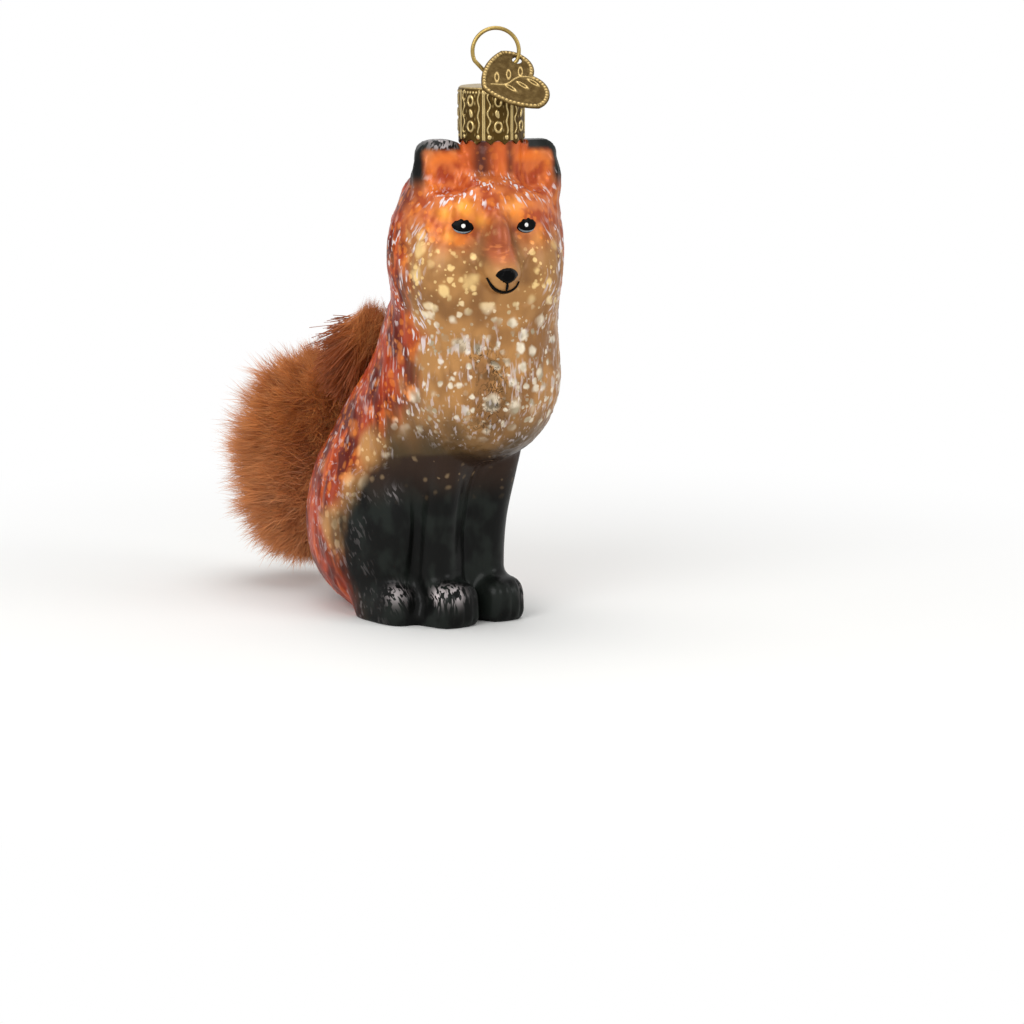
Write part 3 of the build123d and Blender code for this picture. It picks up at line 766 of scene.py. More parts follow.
def laid_line(name, skin, line, half_width, material, height=0.07):
    """A thin brush line on the face, through (side, height) points."""
    outline = band_outline(line, half_width)
    points = [laid_place(skin, side, up, lift) for lift in (height, -LINE_DEPTH) for side, up in outline]
    whole = len(outline)
    faces = []
    for step in range(whole // 2 - 1):
        other = whole - 1 - step
        faces.append((step, step + 1, other - 1, other))
        faces.append((whole + step, whole + other, whole + other - 1, whole + step + 1))
    for step in range(whole):
        following = (step + 1) % whole
        faces.append((step, whole + step, whole + following, following))
    make_mesh(name, points, faces, material, "glass")


def almond(half_width, half_height, tilt, lashes=0.0):
    """An almond outline, tilted, with a rough upper edge."""
    outline = []
    for turn in np.linspace(0, 2 * math.pi, 40, endpoint=False):
        rough = 1 + lashes * max(math.sin(turn), 0) * math.sin(turn * 11)
        side = half_width * math.cos(turn)
        up = half_height * math.sin(turn) * (abs(math.sin(turn)) ** 0.35) * rough
        level, rise = math.cos(tilt), math.sin(tilt)
        outline.append((side * level - up * rise, side * rise + up * level))
    return outline


# The eyes' half width, half height, tilt and rough edge, the glints' and lids' radii, and the nose's radii
# with its height and how much narrower it is below.
EYE_RADII, EYE_TILT, EYE_LASHES, GLINT_RADIUS, LID_RADII = (2.15, 1.4), 0.16, 0.12, 0.42, (1.9, 1.15)
NOSE_RADII, NOSE_HEIGHT, NOSE_NARROWER = (2.3, 1.55), 72.7, 0.42
# The mouth's line, through places given by side and height.
MOUTH = (
    (-3.3, 72.2), (-2.9, 71.2), (-2.1, 70.2), (-1.1, 69.6),
    (0, 69.4), (1.1, 69.7), (2.0, 70.4), (2.6, 71.4),
)


def build_face(settings):
    """The eyes, the nose and the mouth, painted on."""
    glass = bpy.data.objects["lacquered_glass_fox"]
    points = [vertex.co.copy() for vertex in glass.data.vertices]
    skin = BVHTree.FromPolygons(points, [tuple(p.vertices) for p in glass.data.polygons])
    black = gloss_paint("black_enamel", settings.black, 0.2)
    white = gloss_paint("white_enamel", settings.white, 0.3)
    grey = gloss_paint("grey_enamel", "7c8388", 0.35)
    turns, lid_turns = np.linspace(0, 2 * math.pi, 36, endpoint=False), np.linspace(3.4, 5.6, 12)
    for side, height, name in zip((-1, 1), EYE_HEIGHTS, ("right", "left")):
        centre = (side * EYE_SIDE, height)
        eye = almond(*EYE_RADII, side * EYE_TILT, EYE_LASHES)
        laid_patch(f"{name}_eye", skin, centre, eye, 0.3, black)
        dot = [(GLINT_RADIUS * math.cos(t), GLINT_RADIUS * math.sin(t)) for t in turns[::2]]
        laid_patch(f"{name}_eye_glint", skin, (centre[0] - 0.1, height + 0.2), dot, 0.14, white, 0.33)
        wide, high = LID_RADII
        arc = [(centre[0] + wide * math.cos(t), height + high * math.sin(t)) for t in lid_turns]
        laid_line(f"{name}_eye_lower_lid", skin, arc, 0.17, grey, 0.42)
    nose = []
    for turn in turns:
        wide = NOSE_RADII[0] * (1 + NOSE_NARROWER * min(math.sin(turn), 0))
        nose.append((wide * math.cos(turn), NOSE_RADII[1] * math.sin(turn) * abs(math.sin(turn)) ** 0.15))
    laid_patch("nose", skin, (0, NOSE_HEIGHT), nose, 0.6, black, 0.28)
    laid_line("nose_line", skin, [(0, z) for z in np.linspace(71.5, 69.7, 8)], 0.22, black)
    places = np.linspace(0, 1, len(MOUTH))
    mouth = smooth_rows(places, np.array(MOUTH), np.linspace(0, 1, 24)).T
    laid_line("mouth_line", skin, mouth, 0.2, black)


# The cap, the wire and the tag, in millimetres and in the frame of the solids.
CAP_Y = -NECK_SETBACK_SHARE * FOX_HEIGHT
CAP_BOTTOM, CAP_TOP = 96.8, 107.95
CAP_WALL, CAP_SHEET, CAP_EDGE = 6.45, 0.4, 0.6
CAP_POINTS, CAP_POINT_DEPTH, CAP_PANELS, CAP_PATTERN_HEIGHT = 14, 0.9, 7, 9.15
# How far the stampings stand out.
CAP_STAMP, TAG_STAMP = 0.2, 0.16
WIRE_RADIUS, LOOP_RADIUS, LOOP_HEIGHT = 0.4, 4.53, 114.65
LEG_X, LEG_SPREAD, LEG_END, FLARE_HEIGHT, SMALL_BEND = 1.4, 1.9, 88.55, 103.95, 1.2
HANGER_TURN, HANGER_OFFSET, HOLE_GAP = math.radians(-38), 0.9, 0.1
ACROSS = Vector((math.cos(HANGER_TURN), math.sin(HANGER_TURN), 0))
TO_FRONT = Vector((math.sin(HANGER_TURN), -math.cos(HANGER_TURN), 0))
HANGER_AXIS = Vector((0, CAP_Y, 0)) + ACROSS * HANGER_OFFSET
TAG_WIDTH, TAG_LENGTH, TAG_THICKNESS = 16.6, 12.6, 0.45
TAG_TOP, TAG_NOTCH, TAG_AXIS_Y, TAG_HOLE = 2.4, 1.3, -5.0, 0.95
TAG_HOLE_ANGLE, TAG_FRONT_SLOPE, TAG_SIDE_SLOPE, TAG_TURN = [math.radians(a) for a in (-24, 39, -12, 27)]


def aged_metal(name, pale, deep, grain, dull=0.0):
    """Brass with a brown patina in its hollows, rubbed bright on what is raised."""
    look = Look(name)
    cloud = look.noise((grain,) * 3, 4)
    rub = look.sum("ADD", look.zone("raised"), look.sum("MULTIPLY_ADD", cloud, 0.5, -0.25))
    look.colour = look.mix(look.remap(rub, 0.1, 0.85), deep, pale)
    look.lay(look.remap(look.noise((0.35,) * 3), 0.6, 0.75, 0.0, 0.5), "33240f")
    rough = look.remap(rub, 0.1, 0.9, 0.5 + dull, 0.3 + dull)
    return look.done(Metallic=1.0, Roughness=rough, Normal=look.bump(cloud, 0.2, 0.05))


def cap_raised(angle, height):
    """How far the cap's stamping stands out, from an angle in radians and a height above its lower edge."""
    height = height * CAP_PATTERN_HEIGHT / (CAP_TOP - CAP_BOTTOM)
    panel = 2 * math.pi / CAP_PANELS
    number = np.round((angle - HANGER_TURN) / panel - 0.5)
    along = (angle - HANGER_TURN - (number + 0.5) * panel) * CAP_WALL
    aside, phase = np.abs(along), number * 2.1
    sway = 0.22 * np.sin(height * 2.4 + phase)
    drop = np.hypot((along - 0.25 * np.sin(height * 1.7 + phase)) / 0.45, (height - 5.0) / 0.75)
    # Seams, wavy ridges, a ring, a drop, an oval, dots, a rope round the top and a ladder.
    stamps = [
        ridge(aside, 2.72, 0.16),
        ridge(np.abs(along + 0.3 * sway) - 1.85, sway, 0.17) * ramp(1.6, 2.0, height),
        ridge(np.hypot(along / 0.85, (height - 2.9) / 0.95), 0.8, 0.22),
        ramp(1.1, 0.7, drop),
        ridge(np.hypot(along / 0.75, (height - 7.0) / 0.9), 0.8, 0.24),
        ramp(0.5, 0.25, np.hypot(aside - 1.75, height - 1.25)),
        ridge(height, 8.35, 0.22) * (0.6 + 0.4 * np.sin(angle * 60)),
        0.45 * ridge(aside, 1.05, 0.16) * (0.5 + 0.5 * np.sin(height * 5 + phase)),
    ]
    return functools.reduce(np.maximum, stamps) * ramp(9.0, 8.5, height)


def cap_distance(x, y, z):
    """How far a place is outside the cap's metal."""
    y = y - CAP_Y
    ring, angle = np.sqrt(x * x + y * y), np.arctan2(y, x)
    height = z - CAP_BOTTOM
    over_side = ring - (CAP_WALL + CAP_STAMP * cap_raised(angle, height) - CAP_EDGE)
    over_top = z - (CAP_TOP - CAP_EDGE)
    outside = np.hypot(np.maximum(over_side, 0), np.maximum(over_top, 0))
    outside = outside + np.minimum(np.maximum(over_side, over_top), 0)
    hollow = np.maximum(ring - (CAP_WALL - CAP_SHEET), z - (CAP_TOP - CAP_SHEET))
    far = np.maximum(outside - CAP_EDGE, -hollow)
    share = np.abs(((angle / (2 * math.pi) * CAP_POINTS) % 1) * 2 - 1)
    far = np.maximum(far, 0.75 * (CAP_POINT_DEPTH * (1 - share**1.6) - height))
    for leg in (-LEG_X, LEG_X):
        place = ACROSS * (HANGER_OFFSET + leg)
        hole = np.hypot(x - place.x, y - place.y) - WIRE_RADIUS - HOLE_GAP
        far = np.maximum(far, -np.maximum(hole, CAP_TOP - 2 - z))
    return far


def build_cap(settings):
    """The stamped brass cap, its lower edge cut into points."""
    low, high = (-7.2, CAP_Y - 7.2, CAP_BOTTOM - 0.4), (7.2, CAP_Y + 7.2, CAP_TOP + 0.4)
    points, faces = surface_of(cap_distance, low, high, settings.cap_step / MM)
    metal = aged_metal("aged_brass", settings.cap_pale, settings.cap_deep, 1.5)
    piece = make_mesh("stamped_brass_cap", points, faces, metal, "cap")
    x, y, z = points.T
    stamped = cap_raised(np.arctan2(y - CAP_Y, x), z - CAP_BOTTOM)
    top = 0.55 * ramp(CAP_TOP - 0.5, CAP_TOP - 0.1, z)
    inside = (np.hypot(x, y - CAP_Y) < CAP_WALL - 0.2) * (z < CAP_TOP - 0.2)
    set_attribute(piece.data, "raised", np.where(inside, 0.25, np.maximum(stamped, top)))
    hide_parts("cap")


def wire_path():
    """Places along the wire in its own plane: across it from the loop's axis, and up."""
    reach = LOOP_RADIUS + SMALL_BEND
    bend_x = LEG_X + SMALL_BEND
    bend_angle = math.acos(bend_x / reach)
    bend_height = LOOP_HEIGHT - math.sqrt(reach**2 - bend_x**2)
    half = []
    for t in np.linspace(0, 0.97, 12):
        half.append((LEG_X + LEG_SPREAD * (1 - t), LEG_END + (FLARE_HEIGHT - LEG_END) * t))
    half += [(LEG_X, FLARE_HEIGHT + (bend_height - FLARE_HEIGHT) * t) for t in np.linspace(0.08, 0.92, 6)]
    for angle in np.linspace(0, bend_angle, 9):
        half.append((bend_x - SMALL_BEND * math.cos(angle), bend_height + SMALL_BEND * math.sin(angle)))
    for angle in np.linspace(math.pi / 2 - (math.pi - bend_angle) + 0.05, math.pi / 2, 36):
        half.append((LOOP_RADIUS * math.cos(angle), LOOP_HEIGHT + LOOP_RADIUS * math.sin(angle)))
    return half[:-1] + [(-x, z) for x, z in reversed(half)]


def build_hanger(settings):
    """The bent wire, from one leg's end over the loop to the other's."""
    sides = settings.wire_sides
    path = np.array(wire_path())
    ahead = np.gradient(path, axis=0)
    ahead /= np.linalg.norm(ahead, axis=1, keepdims=True)
    points = []
    for (place_x, height), (run_x, run_z) in zip(path, ahead):
        centre = HANGER_AXIS + ACROSS * float(place_x) + Vector((0, 0, float(height)))
        inward = ACROSS * float(-run_z) + Vector((0, 0, float(run_x)))
        for turn in np.linspace(0, 2 * math.pi, sides, endpoint=False):
            points.append(tuple(centre + (inward * math.cos(turn) + TO_FRONT * math.sin(turn)) * WIRE_RADIUS))
    ends = [tuple(range(sides))[::-1], tuple(range(len(points) - sides, len(points)))]
    faces = ring_quads(len(path), sides) + ends
    metal = aged_metal("brass_wire", settings.wire_colour, "6b5426", 2.5)
    piece = make_mesh("brass_wire_hanger", points, faces, metal, "hanger")
    set_attribute(piece.data, "raised", np.full(len(points), 0.55))
    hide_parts("hanger")


def tag_plane():
    """The tag's own frame: where its hole is, and its directions towards the notch, sideways and out."""
    hole = HANGER_AXIS + ACROSS * LOOP_RADIUS * math.cos(TAG_HOLE_ANGLE)
    hole = hole + Vector((0, 0, LOOP_HEIGHT + LOOP_RADIUS * math.sin(TAG_HOLE_ANGLE)))
    out = Vector((0, 0, 1)) - ACROSS * math.tan(TAG_SIDE_SLOPE) + TO_FRONT * math.tan(TAG_FRONT_SLOPE)
    out.normalize()
    level = (ACROSS - out * ACROSS.dot(out)).normalized()
    along = Matrix.Rotation(TAG_TURN, 3, out) @ level
    return hole, along, out.cross(along), out


def arc_through(start, middle, end, count):
    """Points of the circle's arc from start through middle to end."""
    a, b, c = [complex(*p) for p in (start, middle, end)]
    w = (c - a) / (b - a)
    centre = (b - a) * (w - abs(w) ** 2) / (2j * w.imag) + a
    first, last = np.angle(a - centre), np.angle(c - centre)
    bend = np.angle((b - centre) / (a - centre))
    sweep = (last - first) % (2 * math.pi) if bend > 0 else -((first - last) % (2 * math.pi))
    turned = centre + abs(a - centre) * np.exp(1j * (first + sweep * np.linspace(0, 1, count)))
    return np.stack([turned.real, turned.imag], axis=1)


def heart_outline():
    """The tag's outline in its own plane, once round."""
    halves = []
    notch, tip = (TAG_TOP - TAG_NOTCH, TAG_AXIS_Y), (TAG_TOP - TAG_LENGTH, TAG_AXIS_Y)
    for half in (TAG_WIDTH / 2, -TAG_WIDTH / 2):
        lobe = (TAG_TOP, TAG_AXIS_Y + 0.44 * half)
        shoulder = (TAG_TOP - 0.34 * TAG_LENGTH, TAG_AXIS_Y + half)
        flank = (TAG_TOP - 0.72 * TAG_LENGTH, TAG_AXIS_Y + 0.68 * half)
        halves += [arc_through(notch, lobe, shoulder, 30)[:-1], arc_through(shoulder, flank, tip, 30)]
    right, left = np.concatenate(halves[:2]), np.concatenate(halves[2:])
    return np.concatenate([right[:-1], left[::-1][:-1]])


def outline_distance(outline, x, y):
    """Distance to a closed outline, negative inside it, and how far round it the nearest place is."""
    nearest, round_place, crossings = np.full(x.shape, 1e9), np.zeros(x.shape), np.zeros(x.shape, int)
    gone = 0.0
    for start, end in zip(outline, np.roll(outline, -1, axis=0)):
        run = end - start
        length = math.hypot(*run)
        share = np.clip(((x - start[0]) * run[0] + (y - start[1]) * run[1]) / length**2, 0, 1)
        far = np.hypot(x - start[0] - share * run[0], y - start[1] - share * run[1])
        round_place = np.where(far < nearest, gone + share * length, round_place)
        nearest = np.minimum(far, nearest)
        spans = (start[1] > y) != (end[1] > y)
        run_y = run[1] if abs(run[1]) > 1e-9 else 1e-9
        crossings += spans & (x < run[0] * (y - start[1]) / run_y + start[0])
        gone += length
    return np.where(crossings % 2 == 1, -nearest, nearest), round_place, gone


# The leaves of the tag's sprig: where each starts along the stem, and its side.
LEAVES = ((-6.9, 1), (-5.6, -1), (-4.3, 1), (-3.0, -1), (-1.7, 1), (-0.6, -1))
BEAD_SPACING = 0.85


def tag_raised(outline, x, y):
    """Distance to the tag's edge, and its stamping: beads round the edge and a plain sprig in the middle."""
    edge, round_place, whole_round = outline_distance(outline, x, y)
    beads = round(whole_round / BEAD_SPACING)
    bead = (round_place / whole_round * beads) % 1 - 0.5
    rope = ramp(0.4, 0.16, np.hypot(bead * BEAD_SPACING, edge + 0.6))
    rim = 0.2 * ramp(-0.12, -0.2, edge) * ramp(-1.0, -0.9, edge)
    up = y - TAG_AXIS_Y
    stem = 0.9 * ridge(up, 0.5 * np.sin((x + 3.6) * 0.9), 0.17) * (x > -8.2) * (x < 0.2)
    stamps = [rope, rim, stem]
    for place, side in LEAVES:
        leaf = np.hypot((x - place - 0.45 * side * up) / 0.5, (up * side - 1.75) / 1.25)
        stamps.append(0.9 * ridge(leaf, 0.85, 0.24))
    return edge, functools.reduce(np.maximum, stamps)


def build_tag(settings):
    """The heart-shaped brass tag."""
    hole, along, aside, out = tag_plane()
    outline = heart_outline()

    def distance(x, y, z):
        x, y = [flat[..., 0] for flat in np.broadcast_arrays(x, y)]
        edge, raised = tag_raised(outline, x, y)
        edge = np.maximum(edge, TAG_HOLE - np.hypot(x, y))
        return np.maximum(edge[..., None], np.abs(z) - (TAG_THICKNESS / 2 + TAG_STAMP * raised)[..., None])

    low = (TAG_TOP - TAG_LENGTH - 0.4, TAG_AXIS_Y - TAG_WIDTH / 2 - 0.4, -0.6)
    high = (TAG_TOP + 0.4, TAG_AXIS_Y + TAG_WIDTH / 2 + 0.4, 0.6)
    points, faces = surface_of(distance, low, high, settings.tag_step / MM)
    raised = tag_raised(outline, points[:, 0], points[:, 1])[1]
    placed = np.array(hole) + points @ np.array([along, aside, out])
    metal = aged_metal("tag_brass", settings.tag_pale, settings.tag_deep, 1.2, 0.12)
    piece = make_mesh("heart_tag", placed, faces, metal, "tag")
    set_attribute(piece.data, "raised", 0.2 + 0.8 * raised)
    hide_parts("tag")


# The tail's rows: x, y, z and radius as shares of the fox's height, from its lower end to its tip.
TAIL_SHARES = [
    (-0.0252, 0.4537, 0.0807, 0.0353),
    (-0.0252, 0.4789, 0.1563, 0.1059),
    (-0.0262, 0.4819, 0.2773, 0.1331),
    (-0.0302, 0.4507, 0.373, 0.1159),
    (-0.0363, 0.3579, 0.4436, 0.0756),
    (-0.0464, 0.2571, 0.5041, 0.0524),
    (-0.0585, 0.1815, 0.5747, 0.0353),
    (-0.0635, 0.1391, 0.6301, 0.0151),
]
# The leather strip behind the rump: (y, z) of its lower end, bend and upper end, and its middle plane's x.
STRIP_LINE = [(37.04, 14.78), (37.04, 25.61), (33.98, 35.95)]
STRIP_X, STRIP_WIDTH, STRIP_THICKNESS, STRIP_EDGE = -2.46, 6.0, 1.2, 0.2
GLUE_HEIGHT, GLUE_RADIUS = 19.7, 4.5
# What the shapes of the strip, the glue and the fur's core are read in.
MOUNT_BOX = (STRIP_X - 5.2, 31.0, 13.0), (STRIP_X + 5.2, 39.2, 38.0)
MOUNT_STEP, CORE_STEP, CORE_BOX, CORE_FULLNESS = 0.3, 0.7, ((-18, 10, 4), (14, 62, 64)), 0.72
# The line in the strip that the hairs fan out from, the widest tail and how many hairs are drawn at once.
FUR_LOW, FUR_HIGH = np.array([-2.5, 37.0, 17.0]), np.array([-2.9, 33.5, 38.0])
FUR_RADIUS, FUR_BATCH = 13.5, 4000
FUR_BANDS, FUR_SEED, BOW_SEED, WAVE_SCALE = 7, 5, 6, 260.0


def tail_line(where):
    """The tail's centre and radius at places from 0 at its lower end to 1 at its tip, in millimetres."""
    rows = np.array(TAIL_SHARES) * FOX_HEIGHT
    values = smooth_rows(np.linspace(0, 1, len(rows)), rows, where)
    return values[:3].T, values[3]


def tail_distance(x, y, z, fullness=1.0):
    """How far a place is outside the tail, its radius taken times the fullness."""
    centres, radii = tail_line(np.linspace(0, 1, 60))
    far = 1e9
    for (cx, cy, cz), radius in zip(centres, radii * fullness):
        far = np.minimum(far, np.sqrt((x - cx) ** 2 + (y - cy) ** 2 + (z - cz) ** 2) - radius)
    return far


def strip_line():
    """Points along the leather strip's middle line in its upright plane: straight, then bent forward."""
    low, bend, high = [np.array(corner) for corner in STRIP_LINE]
    run = high - bend
    radius = (run @ run) / (2 * abs(run[0]))
    sweep = 2 * math.atan2(abs(run[0]), run[1])
    angles = np.linspace(0, sweep, 16)
    arc = np.stack([bend[0] - radius * (1 - np.cos(angles)), bend[1] + radius * np.sin(angles)], axis=1)
    return np.concatenate([[low], arc])


def strip_distance(x, y, z):
    """How far a place is outside the leather strip, whose edges are a little rounded."""
    line = strip_line()
    level = 1e9
    for start, end in zip(line[:-1], line[1:]):
        run = end - start
        share = np.clip(((y - start[0]) * run[0] + (z - start[1]) * run[1]) / (run @ run), 0, 1)
        level = np.minimum(level, np.hypot(y - start[0] - share * run[0], z - start[1] - share * run[1]))
    over = level - (STRIP_THICKNESS / 2 - STRIP_EDGE)
    wide = np.abs(x - STRIP_X) - (STRIP_WIDTH / 2 - STRIP_EDGE)
    ends = np.maximum(line[0][1] - z, z - line[-1][1]) + STRIP_EDGE
    far = functools.reduce(np.maximum, [over, wide, ends])
    outside = np.sqrt(np.maximum(over, 0) ** 2 + np.maximum(wide, 0) ** 2 + np.maximum(ends, 0) ** 2)
    return np.where(far > 0, outside, far) - STRIP_EDGE


def glue_distance(x, y, z):
    """How far a place is outside the glue that fills the gap between the strip and the rump."""
    disc = np.hypot(x - STRIP_X, z - GLUE_HEIGHT)
    waist = 0.5 * np.sin(3 * np.arctan2(z - GLUE_HEIGHT, x - STRIP_X))
    back = STRIP_LINE[0][0] - STRIP_THICKNESS / 2
    far = np.maximum(disc - (GLUE_RADIUS - 0.5 + 0.5 * waist), y - back)
    return np.maximum(np.maximum(far, back - GLUE_RADIUS - y), 0.05 - fox_distance(x, y, z))


def leather_material(colour):
    """Tanned skin side of the fur: a suede nap with fine grain."""
    look = Look("tail_leather")
    grain = look.noise((0.4,) * 3, 4)
    look.colour = look.mix(look.remap(look.noise((3,) * 3), 0.35, 0.65), "8a6748", colour)
    look.lay(look.remap(grain, 0.55, 0.7, 0.0, 0.4), "6a4a30")
    return look.done(Roughness=0.85, Specular_IOR_Level=0.2, Normal=look.bump(grain, 0.5, 0.12))


def glue_material():
    """Hot-melt glue, cloudy and slightly yellow."""
    look = Look("clear_glue")
    haze = look.noise((1.5,) * 3)
    look.colour = look.mix(haze, "d9cfae", "efe8d2")
    rough = look.remap(haze, 0.3, 0.7, 0.18, 0.34)
    return look.done(Roughness=rough, Transmission_Weight=0.5, Normal=look.bump(haze, 0.3, 0.1))


def build_tail_mount(settings):
    """The leather strip behind the rump and the glue that holds it."""
    points, faces = surface_of(strip_distance, *MOUNT_BOX, MOUNT_STEP)
    leather = leather_material(settings.leather)
    strip = make_mesh("leather_strip", points, faces, leather, "glass")
    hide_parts("tail_backing")
    points, faces = surface_of(glue_distance, *MOUNT_BOX, MOUNT_STEP)
    glue = make_mesh("glue_blob", points, faces, glue_material(), "glass")
    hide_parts("tail_glue")


def core_distance(x, y, z):
    """The dense fur under the free hair, clear of the glass and of the strip and glue."""
    far = np.maximum(tail_distance(x, y, z, CORE_FULLNESS), 0.5 - fox_distance(x, y, z))
    mount = np.maximum(np.hypot(x - STRIP_X, z - GLUE_HEIGHT) - 4.6, y - 37.4)
    mount = np.minimum(strip_distance(x, y, z), mount)
    return np.maximum(far + 0.9 * ramp(54, 60, z), 0.3 - mount)


def fur_material(settings):
    """Dyed rabbit fur, darker at the roots and paler at the tips."""
    look = Look("tail_fur")
    along = look.zone("along")
    look.colour = look.mix(look.remap(along, 0.15, 0.7), "8f4a22", settings.fur)
    look.lay(look.remap(along, 0.7, 1.0, 0.0, 0.6), settings.fur_tips)
    shade = look.sum("ADD", look.times(look.zone("tint"), 0.6), look.times(look.noise((4,) * 3), 0.4))
    look.lay(look.remap(shade, 0.3, 0.7, 0.5, 0.0), "83401c")
    # Painted light: the hairs are painted paler low on the tail, standing in for light from below.
    height = look.add("ShaderNodeSeparateXYZ", [(0, look.place((1, 1, 1)))], 2)
    look.lay(look.remap(height, 18.0, 38.0, 0.35, 0.0), "e0a070")
    look.set(look.shader, Sheen_Weight=0.2, Sheen_Roughness=0.4, Sheen_Tint=linear("d98a55"))
    return look.done(Roughness=0.5, Specular_IOR_Level=0.25)


def strand_mesh():
    """One hair a unit long up Z and a unit wide, a little bowed, with a sharp tip."""
    points, along = [], []
    for height, width in ((0, 0.5), (0.35, 0.46), (0.72, 0.3)):
        bow = 0.28 * height * height
        for side in range(3):
            turn = side * 2 * math.pi / 3
            points.append((width * math.cos(turn) * 0.016 + bow, width * math.sin(turn) * 0.016, height))
            along.append(height)
    faces = [(2, 1, 0)] + ring_quads(3, 3) + [(6 + s, 6 + (s + 1) % 3, 9) for s in range(3)]
    mesh = bpy.data.meshes.new("hair")
    mesh.from_pydata(points + [(0.28, 0, 1)], [], faces)
    set_attribute(mesh, "along", along + [1])
    return mesh


def hair_tree():
    """Geometry nodes that set a hair on each root, aimed, sized and waved by its attributes."""
    tree = bpy.data.node_groups.new("fur_hairs", "GeometryNodeTree")
    for name, way, kind in (
        ("Geometry", "INPUT", "Geometry"),
        ("Hair", "INPUT", "Object"),
        ("Wave", "INPUT", "Float"),
        ("Fur", "INPUT", "Material"),
        ("Geometry", "OUTPUT", "Geometry"),
    ):
        tree.interface.new_socket(name, in_out=way, socket_type=f"NodeSocket{kind}")
    nodes = Nodes(tree)
    given = nodes.node("NodeGroupInput").outputs

    def named(name, kind="FLOAT"):
        return nodes.add("GeometryNodeInputNamedAttribute", [("Name", name)], data_type=kind)

    hair = nodes.add("GeometryNodeObjectInfo", [("Object", given["Hair"])], "Geometry")
    axes = enumerate((named("aim", "FLOAT_VECTOR"), named("bow", "FLOAT_VECTOR")))
    turn = nodes.add("FunctionNodeAxesToRotation", axes, primary_axis="Z", secondary_axis="X")
    spread = named("spread")
    scale = nodes.add("ShaderNodeCombineXYZ", enumerate((spread, spread, named("reach"))))
    inputs = [("Points", given["Geometry"]), ("Instance", hair), ("Rotation", turn), ("Scale", scale)]
    hairs = nodes.add("GeometryNodeInstanceOnPoints", inputs)
    hairs = nodes.add("GeometryNodeRealizeInstances", [("Geometry", hairs)])
    swirl = nodes.noise(nodes.add("GeometryNodeInputPosition"), 1.0, scale=WAVE_SCALE, output="Color")
    centred = nodes.add("ShaderNodeVectorMath", enumerate((swirl, (0.5, 0.5, 0.5))), operation="SUBTRACT")
    share = nodes.times(named("along"), given["Wave"])
    offset = nodes.add("ShaderNodeVectorMath", [(0, centred), (3, share)], operation="SCALE")
    hairs = nodes.add("GeometryNodeSetPosition", [("Geometry", hairs), ("Offset", offset)])
    hairs = nodes.add("GeometryNodeSetMaterial", [("Geometry", hairs), ("Material", given["Fur"])])
    nodes.node("NodeGroupOutput", [("Geometry", hairs)])
    return tree


def fur_roots(tufts, hairs_each):
    """Feet, tips and tints of the tail's hairs, in tufts that fan out from the leather strip."""
    chance = np.random.default_rng(FUR_SEED)
    spine = FUR_HIGH - FUR_LOW
    wanted, feet, tips, tints = tufts, [], [], []
    while wanted > 0:
        where = chance.uniform(0, 1, FUR_BATCH)
        centres, radii = tail_line(where)
        aims = chance.normal(size=(FUR_BATCH, 3))
        aims /= np.linalg.norm(aims, axis=1, keepdims=True)
        rim = centres + aims * radii[:, None]
        kept = chance.uniform(0, 1, FUR_BATCH) < np.maximum((radii / FUR_RADIUS) ** 1.5, 0.25)
        kept &= tail_distance(*rim.T) > -1.2
        kept &= fox_distance(*rim.T) > 0.4
        rim, aims, radii = rim[kept][:wanted], aims[kept][:wanted], radii[kept][:wanted]
        count = len(rim)
        share = np.clip((rim - FUR_LOW) @ spine / (spine**2).sum(), 0, 1)
        run = rim - (FUR_LOW + share[:, None] * spine)
        reach = np.linalg.norm(run, axis=1, keepdims=True)
        heading = run / reach + 0.4 * aims + chance.normal(0, 0.17, (count, 3))
        heading /= np.linalg.norm(heading, axis=1, keepdims=True)
        # Hairs stand proud mostly behind.
        proud = chance.uniform(0, 1, (count, 1)) ** 1.4 * 6.4 * (0.3 + 0.9 * np.clip(heading[:, 1:2], 0, 1))
        tip = rim + heading * proud * np.clip(radii / 9, 0.4, 1)[:, None]
        foot = tip - heading * np.clip(0.66 * reach, 5, 15)
        tint = chance.uniform(0, 1, count)
        for _ in range(hairs_each):
            feet.append(foot + chance.normal(0, 1.15, (count, 3)))
            end = tip + chance.normal(0, 0.36, (count, 3))
            tips.append(end - heading * chance.uniform(0, 3.2, (count, 1)))
            tints.append(np.clip(tint + chance.uniform(-0.2, 0.2, count), 0, 1))
        wanted -= count
    feet, tips, tints = np.concatenate(feet), np.concatenate(tips), np.concatenate(tints)
    # Only hairs that stay off the floor and clear of the glass.
    clear = tips[:, 2] > 3.5
    for share in (0.25, 0.5, 0.75, 1):
        clear &= fox_distance(*(feet + (tips - feet) * share).T) > 0.35
    return feet[clear], tips[clear], tints[clear]


